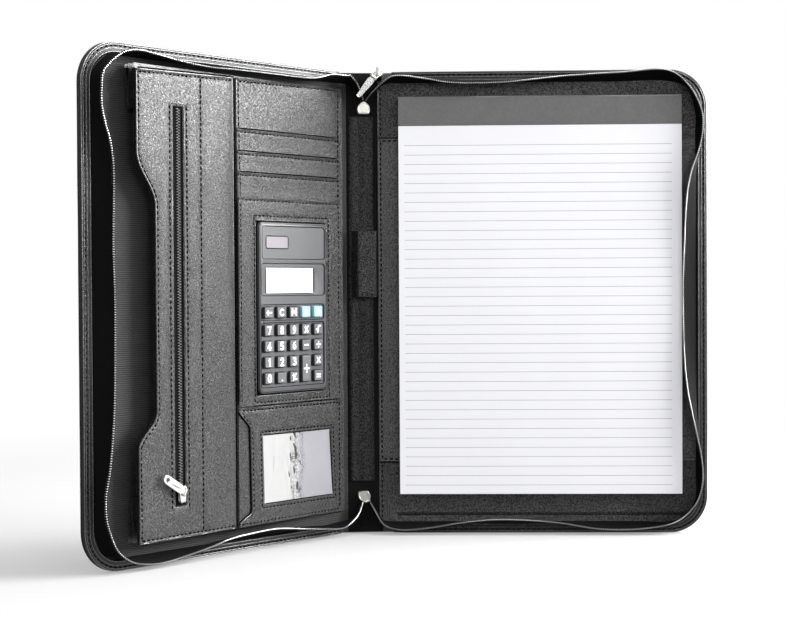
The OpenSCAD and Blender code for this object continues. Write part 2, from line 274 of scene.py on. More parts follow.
def fabric_rib(name, col, pitch=1.4, axis=2, rough=0.85, depth=0.00025):
    m = Mat(name)
    x = m.xyz()
    s = m.math("SINE", m.math("MULTIPLY", x[axis], 2 * math.pi * 1000 / pitch))
    rib = m.remap(s, -1, 1, 0, 1)
    nz = m.noise(900, 3)
    big = m.noise(60, 3)
    other = m.math("SINE", m.math("MULTIPLY", m.math("ADD", x[0], x[1]), 2 * math.pi * 1000 / 0.9))
    h = m.math("ADD", rib, m.math("MULTIPLY", nz, 0.5))
    h = m.math("ADD", h, m.math("MULTIPLY", other, 0.12))
    m.normal(m.bump(h, 0.8, depth))
    f = m.math("ADD", m.math("MULTIPLY", rib, 0.6), m.math("MULTIPLY", big, 0.5), clamp=True)
    m.color(m.mix(f, g(col * 0.35), g(col * 1.3)))
    m.set(rough=rough, sheen=0.06, sheen_rough=0.4, spec=0.3)
    return m.m


def weave(name, col, rough=0.8):
    m = Mat(name)
    x = m.xyz()
    k = 2 * math.pi * 1000 / 0.8
    a = m.math("SINE", m.math("MULTIPLY", m.math("ADD", x[2], x[0]), k))
    b = m.math("SINE", m.math("MULTIPLY", m.math("SUBTRACT", x[2], m.math("ADD", x[0], x[1])), k))
    w = m.remap(m.math("MULTIPLY", a, b), -1, 1, 0, 1)
    nz = m.noise(1500, 2)
    h = m.math("ADD", w, m.math("MULTIPLY", nz, 0.5))
    m.normal(m.bump(h, 0.6, 0.0002))
    m.color(m.mix(w, g(col * 0.6), g(col * 1.4)))
    m.set(rough=rough, spec=0.08)
    return m.m


def metal(name, col, rough=0.22, scratch=0.06):
    m = Mat(name)
    n1 = m.noise(900, 3); n2 = m.noise(120, 2)
    m.color(m.mix(n2, tuple(c * 0.9 for c in col), col))
    m.rough(m.math("ADD", m.math("MULTIPLY", n1, scratch * 2), rough - scratch))
    m.normal(m.bump(n1, 0.15, 0.0001))
    m.set(metal=1.0)
    return m.m


def plastic(name, col, rough=0.42, grain=1800, bump=0.2, spec=0.5, var=0.12):
    m = Mat(name)
    n1 = m.noise(grain, 2); n2 = m.noise(90, 3)
    if var > 0.25:
        n2 = m.math("ADD", m.math("MULTIPLY", n2, 0.3), m.math("MULTIPLY", m.noise(grain, 3), 0.7))
    m.color(m.mix(n2, tuple(c * (1 - var) for c in col), tuple(min(1, c * (1 + var)) for c in col)))
    m.rough(m.math("ADD", m.math("MULTIPLY", n1, 0.12), rough - 0.06))
    m.normal(m.bump(n1, bump, 0.00008))
    m.set(spec=spec)
    return m.m


LEATHER = leather("leather_black", 0.006, 0.38, 1050, 0.8, spec=0.8, glit=0.6)
LEATHER_IN = leather("leather_inner", 0.004, 0.36, 1000, 0.8, spec=0.38, glit=1.2)
LEATHER_ORG = leather("leather_organiser", 0.008, 0.29, 1300, 0.9, spec=1.0, glit=0.9)
LEATHER_EDGE = leather("leather_binding", 0.003, 0.34, 1100, 0.35, spec=0.40, glit=0.3)
LEATHER_BAND = leather("leather_band", 0.012, 0.36, 1050, 0.8, spec=0.95, glit=1.2)
# painted light: the sleeve band is the covers' black leather with its colour raised about eightfold, so it reads as lit
LEATHER_SLEEVE_LIT = leather("leather_sleeve_painted_light", 0.05, 0.34, 1050, 0.8, spec=1.0, glit=1.2)
GUSSET = leather("leather_gusset", 0.035, 0.34, 900, 0.4, spec=0.8)
# painted highlight: the edge beads are the same black leather with a colour about four times lighter, so the folded
# edges read as bright lines
LEATHER_BEAD_HIGHLIGHT = leather("leather_edge_bead_painted_highlight", 0.03, 0.16, 900, 0.12, spec=1.0, glit=0.5, ior=1.7)
# matte black: the calculator's moulded lines, and painted shade laid as tubes over the shadowed gaps at leather layers'
# edges and round the display's recess
BLACK_LINES_AND_GAP_SHADE = plastic("black_lines_and_gap_shade", g(0.002), 0.85, 2000, 0.2, spec=0.06)
THREAD = plastic("thread", g(0.0025), 0.85, 3000, 0.5, spec=0.08)
LINING = fabric_rib("lining_ribbed", 0.045)
FABRIC = weave("fabric_dark", 0.007)
TAPE = weave("zip_tape", 0.005, 0.85)
TEETH = metal("zip_teeth", (0.94, 0.94, 0.95), 0.36)
SILVER = metal("bright_metal", (0.82, 0.81, 0.79), 0.22)
NICKEL = metal("brushed_nickel", (0.72, 0.71, 0.67), 0.34)
# painted highlight: the black nylon coil is given a mid-grey base so its loops read as light dots
COIL_WITH_PAINTED_SHEEN = plastic("coil_nylon_painted_sheen", g(0.20), 0.2, 2500, 0.05, spec=1.0)
BOARD = plastic("board", (0.3, 0.25, 0.18), 0.85, 600, 0.4)
CARD = plastic("pad_card", (0.17, 0.17, 0.165), 0.75, 900, 0.3)
STRIP = plastic("pad_strip", g(0.125), 0.55, 520, 1.0, var=0.3)
PAPER_M = Mat("paper")
_n = PAPER_M.noise(600, 4); _n2 = PAPER_M.noise(25, 2)
PAPER_M.color(PAPER_M.mix(_n2, (0.86, 0.86, 0.90), (0.90, 0.90, 0.93)))
PAPER_M.normal(PAPER_M.bump(_n, 0.08, 0.0001)); PAPER_M.set(rough=0.7, spec=0.3)
PAPER = PAPER_M.m
_e = Mat("paper_edges")
_x = _e.xyz(); _w = _e.noise(2400, 2)
_e.color(_e.mix(_w, (0.62, 0.62, 0.63), (0.88, 0.88, 0.90))); _e.set(rough=0.8)
_e.normal(_e.bump(_w, 0.4, 0.0001))
PAPER_EDGE = _e.m
RULE = plastic("ruled_ink", (0.36, 0.37, 0.41), 0.7, 900, 0.1)
CALC = plastic("calculator_body", (0.06, 0.061, 0.064), 0.36, 2200, 0.25)
CALC_IN = plastic("calculator_recess", (0.062, 0.063, 0.066), 0.4, 2200, 0.2)
KEY = plastic("key_rubber", (0.10, 0.102, 0.108), 0.5, 1500, 0.25)
# painted shade: the key rubber copied about five times darker, for the grey keys' skirts and the display well's walls,
# where shade falls
KEY_SIDE_SHADE = plastic("key_side_painted_shade", (0.02, 0.02, 0.022), 0.5, 1500, 0.25)
KEYBLUE = plastic("key_blue", (0.24, 0.45, 0.50), 0.5, 1500, 0.25)
LEGEND = plastic("legend_print", (0.85, 0.85, 0.86), 0.5, 1500, 0.05)
LEGEND2 = plastic("legend_print_blue", (0.55, 0.72, 0.76), 0.5, 1500, 0.05)
LCD = plastic("display_glass", (0.86, 0.87, 0.85), 0.12, 200, 0.02, spec=0.6, var=0.02)
# the solar cell's base is its own lavender tint lifted to a light grey, a painted reflection of the sheen it shows
# under the lamps
SOLAR_TINT_AND_SHEEN = plastic("solar_cell", (0.255, 0.24, 0.255), 0.3, 300, 0.02, spec=0.15, var=0.05)
PCB = plastic("circuit_board", (0.05, 0.16, 0.08), 0.35, 900, 0.3)
MEMBRANE = plastic("membrane", g(0.1), 0.7, 900, 0.3)


# ------------------------------------------------------------------ mesh helpers
def make(name, V, F, mat, body, frame_fn, smooth=True, angle=40, rep=(), slot=None, mats=None, fmat=None, recalc=True, merge=0.0):
    """V in local millimetres; a new object in the row frame riding on body."""
    P = frame_fn(V) if frame_fn else np.array(V, float)
    me = bpy.data.meshes.new(name)
    me.from_pydata([tuple(p) for p in P], [], [tuple(int(i) for i in f) for f in F])
    for mm in (mats or [mat]):
        me.materials.append(mm)
    if fmat is not None:
        me.polygons.foreach_set("material_index", np.array(fmat, np.int32))
    bm = bmesh.new(); bm.from_mesh(me)
    if merge:
        bmesh.ops.remove_doubles(bm, verts=bm.verts, dist=merge / 1000)
        bmesh.ops.dissolve_degenerate(bm, edges=bm.edges, dist=1e-7)
    loose = [v for v in bm.verts if not v.link_faces]
    if loose:
        bmesh.ops.delete(bm, geom=loose, context="VERTS")
    if recalc:
        bmesh.ops.recalc_face_normals(bm, faces=bm.faces)
        if bm.calc_volume(signed=True) < 0:
            bmesh.ops.reverse_faces(bm, faces=bm.faces)
    bm.to_mesh(me); bm.free()
    if smooth:
        me.polygons.foreach_set("use_smooth", [True] * len(me.polygons))
        if angle < 180:
            me.set_sharp_from_angle(angle=math.radians(angle))
    me.update()
    o = bpy.data.objects.new(name, me)
    bpy.context.scene.collection.objects.link(o)
    if body:
        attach(o, body)
    if rep:
        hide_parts(*rep)
    return o


def weld(V, F, tol=0.004):
    """Joins points that coincide and drops faces that collapse."""
    V = np.array(V, float)
    key = np.round(V / tol).astype(np.int64)
    _, first, inv = np.unique(key, axis=0, return_index=True, return_inverse=True)
    inv = inv.reshape(-1)
    F2 = []
    for f in F:
        q = []
        for i in f:
            j = int(inv[i])
            if not q or q[-1] != j:
                q.append(j)
        if len(q) > 1 and q[0] == q[-1]:
            q.pop()
        if len(set(q)) >= 3:
            F2.append(tuple(q))
    return V[first], F2


def solidify(V, F, off):
    """Gives a one-sided sheet a back, shifted by off, and closes its border."""
    V, F = weld(V, F)
    n = len(V)
    off = np.array(off, float)
    back = V + off
    F2 = [tuple(f) for f in F] + [tuple(i + n for i in reversed(f)) for f in F]
    cnt = {}
    for f in F:
        for a, b in zip(f, tuple(f[1:]) + (f[0],)):
            k = (min(a, b), max(a, b))
            cnt.setdefault(k, []).append((a, b))
    for k, e in cnt.items():
        if len(e) == 1:
            a, b = e[0]
            F2.append((b, a, a + n, b + n))
    return np.vstack([V, back]), F2


def grid_faces(n, m, keep=None, start=0):
    F = []
    for i in range(n - 1):
        for j in range(m - 1):
            if keep is None or keep[i, j]:
                a = start + i * m + j
                F.append((a, a + m, a + m + 1, a + 1))
    return F


def lines(a, b, step, marks=(), fine=()):
    """Grid lines from a to b about every step, with closer ones round the marks."""
    v = list(np.linspace(a, b, max(2, int(round(abs(b - a) / step)) + 1)))
    extra = []
    for q in marks:
        off = fine
        if isinstance(q, tuple):
            q, off = q
        for o in off:
            if a - 1e-6 <= q + o <= b + 1e-6:
                extra.append(q + o)
    extra = sorted(set(round(e, 4) for e in extra))
    out = [e for e in extra]
    for x in v:
        if all(abs(x - e) > 0.35 * step if len(extra) else True for e in extra) or abs(x - a) < 1e-6 or abs(x - b) < 1e-6:
            out.append(round(x, 4))
    out = sorted(set(out))
    res = [out[0]]
    for x in out[1:]:
        if x - res[-1] > 0.04:
            res.append(x)
    res[-1] = out[-1]
    return np.array(res)


EDGE = (0, 0.12, 0.35, 0.7, 1.2, 1.9)
EDGEN = tuple(-e for e in EDGE)
STI = (-1.3, -0.7, -0.35, 0, 0.35, 0.7, 1.3)


def rnd(d, r=1.1):
    t = np.clip(d / r, 0, 1)
    return np.sqrt(np.clip(1 - (1 - t) ** 2, 0, 1))


def groove(d, depth=0.28, w=0.55):
    return -depth * np.exp(-(d / w) ** 2)


def soft(s, z, amp, length, seed):
    r = np.random.default_rng(seed)
    out = np.zeros_like(np.asarray(s, float))
    for i in range(7):
        a = r.uniform(0, 2 * math.pi); L = length * r.uniform(0.7, 1.8)
        out += np.sin((s * math.cos(a) + z * math.sin(a)) * 2 * math.pi / L + r.uniform(0, 6.28))
    return out * amp / 3.0


def sheet_grid(S, Z, front, back, keep=None, warp=None):
    """Closed sheet on a grid. Heights are towards the reader. Returns (s, height, z) points and faces."""
    n, m = len(S), len(Z)
    SS, ZZ = np.meshgrid(S, Z, indexing="ij")
    hf = front(SS, ZZ)
    hb = back(SS, ZZ) if callable(back) else np.full_like(SS, float(back))
    s2, z2 = warp(SS, ZZ) if warp else (SS, ZZ)
    N = n * m
    V = np.vstack([np.stack([s2, hf, z2], -1).reshape(-1, 3), np.stack([s2, hb, z2], -1).reshape(-1, 3)])
    if keep is None:
        K = np.ones((n - 1, m - 1), bool)
    else:
        sc = (np.array(S)[1:] + np.array(S)[:-1]) / 2; zc = (np.array(Z)[1:] + np.array(Z)[:-1]) / 2
        K = keep(*np.meshgrid(sc, zc, indexing="ij"))
    F = []
    for i in range(n - 1):
        for j in range(m - 1):
            if not K[i, j]:
                continue
            a, b, c, d = i * m + j, (i + 1) * m + j, (i + 1) * m + j + 1, i * m + j + 1
            F.append((a, b, c, d)); F.append((a + N, d + N, c + N, b + N))
            if i == 0 or not K[i - 1, j]:
                F.append((a, d, d + N, a + N))
            if i == n - 2 or not K[i + 1, j]:
                F.append((b, b + N, c + N, c))
            if j == 0 or not K[i, j - 1]:
                F.append((a, a + N, b + N, b))
            if j == m - 2 or not K[i, j + 1]:
                F.append((d, c, c + N, d + N))
    return V, F


def left_local(V):
    """(s, height, z) to the left frames' (x, y, z)."""
    V = np.array(V, float)
    return np.stack([-V[:, 0], -V[:, 1], V[:, 2]], 1)


def right_local(V):
    V = np.array(V, float)
    return np.stack([V[:, 0], -V[:, 1], V[:, 2]], 1)


def resample(P, step):
    P = np.array(P, float)
    d = np.r_[0, np.cumsum(np.linalg.norm(np.diff(P, axis=0), axis=1))]
    n = max(2, int(round(d[-1] / step)) + 1)
    t = np.linspace(0, d[-1], n)
    return np.stack([np.interp(t, d, P[:, k]) for k in range(P.shape[1])], 1)


def spline(P, step):
    """Catmull-Rom through the points, then evenly spaced."""
    P = np.array(P, float)
    Q = np.vstack([2 * P[0] - P[1], P, 2 * P[-1] - P[-2]])
    out = []
    for i in range(1, len(Q) - 2):
        p0, p1, p2, p3 = Q[i - 1:i + 3]
        # centripetal
        t01 = max(np.linalg.norm(p1 - p0), 1e-6) ** 0.5; t12 = max(np.linalg.norm(p2 - p1), 1e-6) ** 0.5; t23 = max(np.linalg.norm(p3 - p2), 1e-6) ** 0.5
        m1 = (p2 - p1) + t12 * ((p1 - p0) / t01 - (p2 - p0) / (t01 + t12))
        m2 = (p2 - p1) + t12 * ((p3 - p2) / t23 - (p3 - p1) / (t12 + t23))
        for u in np.linspace(0, 1, 12, endpoint=False):
            out.append((2 * u**3 - 3 * u**2 + 1) * p1 + (u**3 - 2 * u**2 + u) * m1 + (-2 * u**3 + 3 * u**2) * p2 + (u**3 - u**2) * m2)
    out.append(P[-1])
    return resample(np.array(out), step)


def _capsule(length, rad, nr=5, ns=6):
    V = []; F = []
    for i in range(nr):
        t = -1 + 2 * i / (nr - 1)
        r = rad * (1 - 0.75 * abs(t) ** 3)
        for k in range(ns):
            a = 2 * math.pi * k / ns
            V.append((t * length / 2, r * math.cos(a) * 1.15, r * math.sin(a) + rad * 0.9 * (1 - t * t) - rad * 0.55))
    for i in range(nr - 1):
        for k in range(ns):
            a = i * ns + k; b = i * ns + (k + 1) % ns
            F.append((a, b, b + ns, a + ns))
    F.append(tuple(range(ns))[::-1]); F.append(tuple((nr - 1) * ns + k for k in range(ns)))
    return np.array(V), F


def tube_points(paths, rad=0.4, hfun=0.0, ns=8, step=1.5):
    """Round beads along paths of (s, z) or (s, z, height), ends rounded off; returns (s, height, z) points and faces."""
    VV = []; FF = []; n = 0
    for P in paths:
        P = np.array(P, float)
        Q = resample(P, step)
        h = np.array([q[2] if len(q) > 2 else (hfun(q[0], q[1]) if callable(hfun) else hfun) for q in Q], float)
        t = np.gradient(Q[:, :2], axis=0); t /= np.linalg.norm(t, axis=1)[:, None] + 1e-12
        nr = np.stack([-t[:, 1], t[:, 0]], 1)
        m = len(Q)
        rr = np.full(m, rad); rr[0] = rr[-1] = rad * 0.35
        if m > 4:
            rr[1] = rr[-2] = rad * 0.9
        for i in range(m):
            for k in range(ns):
                a = 2 * math.pi * k / ns
                VV.append((Q[i, 0] + nr[i, 0] * rr[i] * math.cos(a), h[i] + rr[i] * math.sin(a), Q[i, 1] + nr[i, 1] * rr[i] * math.cos(a)))
        for i in range(m - 1):
            for k in range(ns):
                a = n + i * ns + k; b = n + i * ns + (k + 1) % ns
                FF.append((a, b, b + ns, a + ns))
        FF.append(tuple(n + k for k in range(ns))[::-1]); FF.append(tuple(n + (m - 1) * ns + k for k in range(ns)))
        n += m * ns
    return np.array(VV), FF


def stitch_points(paths, pitch=3.9, length=2.7, rad=0.36, hfun=0.0, jitter=0.06):
    """Threads along paths of (s, z) or (s, z, height); returns (s, height, z) points and faces."""
    cv, cf = _capsule(length, rad)
    VV = []; FF = []; n = 0
    rg = np.random.default_rng(11)
    for P in paths:
        P = np.array(P, float)
        Q = resample(P, pitch)
        for i in range(len(Q) - 1):
            a, b = Q[i], Q[i + 1]
            c = (a + b) / 2; d = (b - a)[:2]; L = np.linalg.norm(d)
            if L < 1e-6:
                continue
            d = d / L; nrm = np.array([-d[1], d[0]])
            h = c[2] if len(c) > 2 else (hfun(c[0], c[1]) if callable(hfun) else hfun)
            j = rg.normal(0, jitter)
            ang = rg.normal(0, 0.05)
            u = cv[:, 0]; v = cv[:, 1] + u * ang + j
            s = c[0] + u * d[0] + v * nrm[0]; z = c[1] + u * d[1] + v * nrm[1]
            VV.append(np.stack([s, np.full(len(u), float(h)) + cv[:, 2], z], 1))
            FF += [tuple(k + n for k in f) for f in cf]; n += len(cv)
    return np.vstack(VV), FF


# ---- cover rings
def stations(s0, step=9.0, narc=14):
    sl = np.linspace(s0, W - R, int((W - R - s0) / step) + 1)
    zl = np.linspace(R, H - R, int((H - 2 * R) / step) + 1)
    pos = []; nrm = []
    for s in sl:
        pos.append((s, 0)); nrm.append((0, 1))
    for k in range(1, narc):
        a = math.radians(-90 + 90 * k / narc)
        pos.append((W - R + R * math.cos(a), R + R * math.sin(a))); nrm.append((-math.cos(a), -math.sin(a)))
    for z in zl:
        pos.append((W, z)); nrm.append((-1, 0))
    for k in range(1, narc):
        a = math.radians(90 * k / narc)
        pos.append((W - R + R * math.cos(a), H - R + R * math.sin(a))); nrm.append((-math.cos(a), -math.sin(a)))
    for s in sl[::-1]:
        pos.append((s, H)); nrm.append((0, -1))
    return np.array(pos), np.array(nrm), sl, zl


def tray(profile, s0, step=9.0, narc=14, interior=True, yin=None, wob=None, cap=False):
    """Rings of (inset, y) round the cover's three outer sides, closed over the middle when interior is set."""
    pos, nrm, sl, zl = stations(s0, step, narc)
    n = len(pos); V = []; F = []
    for k, (d, y) in enumerate(profile):
        q = pos + nrm * d
        yy = np.full(n, float(y))
        if wob is not None:
            yy = yy + wob(q[:, 0], q[:, 1], d)
        V.append(np.stack([q[:, 0], yy, q[:, 1]], 1))
    for k in range(len(profile) - 1):
        for i in range(n - 1):
            a = k * n + i
            F.append((a, a + 1, a + 1 + n, a + n))
    V = np.vstack(V)
    if interior:
        base = len(V)
        SS, ZZ = np.meshgrid(sl, zl, indexing="ij")
        y = np.full_like(SS, float(profile[-1][1]))
        if yin is not None:
            y = y + yin(SS, ZZ)
        V = np.vstack([V, np.stack([SS, y, ZZ], -1).reshape(-1, 3)])
        F += grid_faces(len(sl), len(zl), start=base)
    return V, F


# ------------------------------------------------------------------ covers: leather outside, edge and binding
COVER_PROFILE = [(28, 6.05), (20, 6.15), (13, 6.15), (8, 6.05), (5, 5.95), (3.2, 5.75), (2.5, 5.72), (1.7, 5.85), (1.0, 5.7), (0.45, 5.3),
                 (0.12, 4.75), (0.0, 4.2), (0.22, 3.75), (0.62, 3.45), (0.68, 3.05), (0.3, 2.7), (0.02, 2.2), (0.0, 1.6), (0.14, 1.0),
                 (0.5, 0.45), (1.05, 0.12), (1.6, 0.1), (2.1, 0.32), (2.6, 0.45), (3.1, 0.34), (3.6, 0.16), (4.4, 0.1), (5.2, 0.02),
                 (5.9, -0.28), (6.5, -0.42), (7.1, -0.3), (7.5, 0.05), (7.75, 0.5), (7.9, 1.0), (8.1, 4.5), (28, 4.5)]


def cover_skin(s0):
    sw = lambda s, z, d: soft(s, z, 0.10, 46, 3) * (1 if d < 8 else 0.4)
    V, F = tray(COVER_PROFILE, s0, step=7.0, narc=16, interior=True, wob=sw, yin=lambda s, z: soft(s, z, 0.04, 46, 3) * 0)
    # the back's middle
    pos, nrm, sl, zl = stations(s0, 7.0, 16)
    SS, ZZ = np.meshgrid(sl, zl, indexing="ij")
    puff = 0.35 * np.sin(np.pi * (ZZ - R) / (H - 2 * R)) * np.sin(np.pi * np.clip((SS - s0) / (W - R - s0), 0, 1))
    y = 6.05 + puff + soft(SS, ZZ, 0.10, 46, 3) * 0.4
    n0 = len(V)
    V = np.vstack([V, np.stack([SS, y, ZZ], -1).reshape(-1, 3)])
    F = F + [tuple(reversed(f)) for f in grid_faces(len(sl), len(zl), start=n0)]
    return V, F


def fill_holes(o):
    bm = bmesh.new(); bm.from_mesh(o.data)
    ed = [e for e in bm.edges if e.is_boundary]
    if ed:
        bmesh.ops.holes_fill(bm, edges=ed, sides=0)
    bmesh.ops.recalc_face_normals(bm, faces=bm.faces)
    bm.to_mesh(o.data); bm.free()
    return o


for side in ("right", "left"):
    V, F = cover_skin(3.2)
    sx = 1 if side == "right" else -1
    Vl = V * [sx, 1, 1]
    body = side + "_cover"
    o = make(side + "_cover_leather", Vl, F, LEATHER_EDGE, body, FRAMES[body], merge=0.01, angle=60,
             rep=[side + "_cover_shell"], slot="leather_black", mats=[LEATHER_EDGE, LEATHER])
    fill_holes(o)
    # pebbled leather behind, smoother piping round the edge
    loc = []
    for p in o.data.polygons:
        c = p.center
        loc.append(c)
    cc = np.array([tuple(c) for c in loc])
    # distance behind the lining plane decides: back faces point away from the reader
    nn = np.array([tuple(p.normal) for p in o.data.polygons])
    back = FRAMES[body]([[0, 1, 0]])[0] - FRAMES[body]([[0, 0, 0]])[0]; back = back / np.linalg.norm(back)
    idx = ((nn @ back) > 0.8).astype(np.int32)
    o.data.polygons.foreach_set("material_index", idx)
    # stitches round the binding, front and back
    pos, nrm, sl, zl = stations(5.0, 4.0, 24)
    P = pos + nrm * 2.6
    V1, F1_ = stitch_points([P], pitch=3.9, length=2.8, rad=0.45, hfun=-0.36)
    V1 = right_local(V1) * [sx, 1, 1]
    P2 = pos + nrm * 2.9
    V2, F2_ = stitch_points([P2], pitch=3.9, length=2.8, rad=0.36, hfun=5.75)
    V2[:, 1] = 5.72 + (V2[:, 1] - 5.75)
    V2 = np.stack([V2[:, 0] * sx, V2[:, 1], V2[:, 2]], 1)
    VV = np.vstack([V1, V2]); FF = F1_ + [tuple(i + len(V1) for i in f) for f in F2_]
    make(side + "_cover_stitching", VV, FF, THREAD, body, FRAMES[body], angle=180, slot="leather_black")
    # turned folds of the binding: fine raised lines round the edge
    V1 = np.zeros((0, 3)); FF = []
    for off_, hh_, rr_ in ((0.5, -0.58, 0.5), (1.75, -0.16, 0.4), (4.2, -0.15, 0.42), (6.55, 0.25, 0.42)):
        v, f = tube_points([pos + nrm * off_], rad=rr_, hfun=hh_, step=2.4, ns=8)
        FF += [tuple(i + len(V1) for i in q) for q in f]; V1 = np.vstack([V1, v])
    V1 = right_local(V1) * [sx, 1, 1]
    make(side + "_cover_edge_folds", V1, FF, LEATHER_BEAD_HIGHLIGHT, body, FRAMES[body], angle=180, slot="leather_black")

# ------------------------------------------------------------------ spine and creases
ZE = lines(0.1, 345.6, 11, marks=(0.1, 345.6), fine=(0, 0.15, 0.5, 1.1, 2.0, 3.4, -0.15, -0.5, -1.1, -2.0, -3.4))


def bar_heights(lo, hi, r=1.6):
    """Front and back heights of a strip rounded along its top and bottom edges."""
    mid = (lo + hi) / 2; half = (hi - lo) / 2
    f = lambda s, z: mid + half * rnd(np.minimum(z - 0.1, 345.6 - z) + 0.02, r) * (1 + 0 * s)
    b = lambda s, z: mid - half * rnd(np.minimum(z - 0.1, 345.6 - z) + 0.02, r) * (1 + 0 * s)
    return f, b


f, b = bar_heights(-6.1, -2.35)
V, F = sheet_grid(np.linspace(4.4, 31.6, 9), ZE, lambda s, z: f(s, z), lambda s, z: b(s, z) - soft(s, z, 0.08, 50, 5))
make("spine_leather", left_local(V), F, LEATHER, "spine", fr_spine, rep=["spine_cover"], slot="leather_black", angle=60)
f, b = bar_heights(-6.1, -1.75)
V, F = sheet_grid(np.linspace(-4.6, 4.6, 13), ZE, f, b)
V = right_local(V)
o = make("right_crease_leather", V, F, LEATHER, None, cross_right, angle=60, slot="leather_black")
tuple(fr_spine([[-4, 4, 0]])[0])
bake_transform(o)
o = make("left_crease_leather", V, F, LEATHER, None, cross_left, angle=60, slot="leather_black")
tuple(fr_spine([[-SP + 4, 4, 0]])[0])
tuple(fr_left([[-4, 4, 0]])[0])
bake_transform(o)

# spine: dark fabric with the padded leather panel on it
V, F = sheet_grid(np.linspace(5.0, 33.0, 12), lines(1.0, 345.0, 9), lambda s, z: -2.15 + soft(s, z, 0.08, 30, 8), -2.6)
base_fab = make("spine_fabric", left_local(V), F, FABRIC, "spine", fr_spine, rep=["spine_lining"], slot="lining_fabric", angle=60)
SX = lines(11.2, 29.8, 1.0, marks=(11.2, 29.8), fine=(0, 0.2, 0.5, 1, -0.2, -0.5, -1))
SZ = lines(38.6, 313.0, 6, marks=(38.6, 313.0), fine=(0, 0.2, 0.5, 1, 1.8, 3, -0.2, -0.5, -1, -1.8, -3))


def spine_h(s, z):
    e = rnd(np.minimum(np.minimum(z - 38.6, 313 - z), np.minimum(s - 11.2, 29.8 - s) + 0.1) + 0.01, 1.3)
    h = 0.95 + 0.75 * np.sin(np.clip((s - 11.2) / 18.6, 0, 1) * np.pi) + 0.42 * np.exp(-((s - 27.2 - 0.5 * np.sin(z / 55)) / 1.5) ** 2) \
        - 0.55 * np.exp(-((s - 22.6 - 0.8 * np.sin(z / 70 + 1)) / 1.7) ** 2) + 0.3 * np.exp(-((s - 18.5 - 0.6 * np.sin(z / 60 + 2)) / 1.6) ** 2) \
        - 0.3 * np.exp(-((s - 14.0 - 0.4 * np.sin(z / 50)) / 1.4) ** 2)
    h = h + soft(s, z, 0.12, 34, 21)
    return -2.3 + h * e


V, F = sheet_grid(SX, SZ, spine_h, -2.4)
make("spine_inner_panel", left_local(V), F, LEATHER_IN, "spine", fr_spine, slot="lining_fabric", angle=50)

# tab grounds: the zip's sewn-down ends
V1, F1_ = sheet_grid(np.linspace(14.4, 22.2, 6), lines(5.0, 22.4, 3), lambda s, z: -1.5 + soft(s, z, 0.1, 9, 4), -2.3)
V2, F2_ = sheet_grid(np.linspace(14.4, 22.2, 6), lines(323.9, 340.6, 3), lambda s, z: -1.5 + soft(s, z, 0.1, 9, 6), -2.3)
make("zip_tape_ends", left_local(np.vstack([V1, V2])), F1_ + [tuple(i + len(V1) for i in f) for f in F2_], TAPE, "spine", fr_spine, slot="zip_tape", angle=60)

# pen loop: a leather strap round a folded front edge
LOOP = [(7.6, -2.0), (8.3, -0.6), (8.7, 1.3), (9.6, 3.1), (11.4, 4.1), (15.0, 4.55), (19.0, 4.75), (22.0, 4.85), (23.2, 4.75),
        (24.0, 4.1), (25.2, 2.6), (26.6, 0.8), (27.9, -0.9), (28.7, -2.0)]


def loop_strap():
    C = spline(LOOP, 0.9)
    t = np.gradient(C, axis=0); t /= np.linalg.norm(t, axis=1)[:, None]
    nrm = np.stack([t[:, 1], -t[:, 0]], 1)
    if nrm[len(C) // 2][1] > 0:
        nrm = -nrm
    zs = [177.5, 177.6, 177.85, 178.3, 179.1, 180.6, 186, 194, 202, 210, 218, 223.9, 225.4, 226.2, 226.65, 226.9, 227.0]
    V = []; n = len(C)
    for z in zs:
        e = rnd(min(z - 177.5, 227.0 - z) + 0.02, 0.75)
        for k in range(n):
            w = 0.15 * math.sin(z / 9.0 + k * 0.2) * math.sin(math.pi * k / (n - 1))
            V.append((C[k, 0] - nrm[k, 0] * w, C[k, 1] - nrm[k, 1] * w, z))
        # outer then inner
    outer = np.array(V).reshape(len(zs), n, 3)
    inner = outer.copy()
    for i, z in enumerate(zs):
        e = rnd(min(z - 177.5, 227.0 - z) + 0.02, 0.75)
        inner[i, :, 0] += nrm[:, 0] * (0.35 + 0.75 * e)
        inner[i, :, 1] += nrm[:, 1] * (0.35 + 0.75 * e)
        outer[i, :, 0] += nrm[:, 0] * (0.35 - 0.35 * e)
        outer[i, :, 1] += nrm[:, 1] * (0.35 - 0.35 * e)
    VV = np.vstack([outer.reshape(-1, 3), inner.reshape(-1, 3)]); N = len(zs) * n; F = []
    for i in range(len(zs) - 1):
        for k in range(n - 1):
            a = i * n + k
            F.append((a, a + 1, a + 1 + n, a + n)); F.append((a + N, a + n + N, a + 1 + n + N, a + 1 + N))
    for k in range(n - 1):
        F.append((k, k + N, k + 1 + N, k + 1)); a = (len(zs) - 1) * n + k
        F.append((a, a + 1, a + 1 + N, a + N))
    for i in range(len(zs) - 1):
        a = i * n
        F.append((a, a + n, a + n + N, a + N)); a = i * n + n - 1
        F.append((a, a + N, a + n + N, a + n))
    return VV, F


V, F = loop_strap()
make("pen_loop_strap", left_local(V), F, LEATHER_IN, "spine", fr_spine, rep=["pen_loop"], slot="leather_trim", angle=50)
sp = [[(10.5, 179.6), (21.8, 179.6)], [(10.5, 224.9), (21.8, 224.9)]]
V, F = stitch_points(sp, pitch=3.4, length=2.3, rad=0.26, hfun=lambda s, z: 3.9 + 0.85 * math.sin((s - 9) / 15 * 1.4))
make("pen_loop_stitching", left_local(V), F, THREAD, "spine", fr_spine, angle=180, slot="leather_trim")

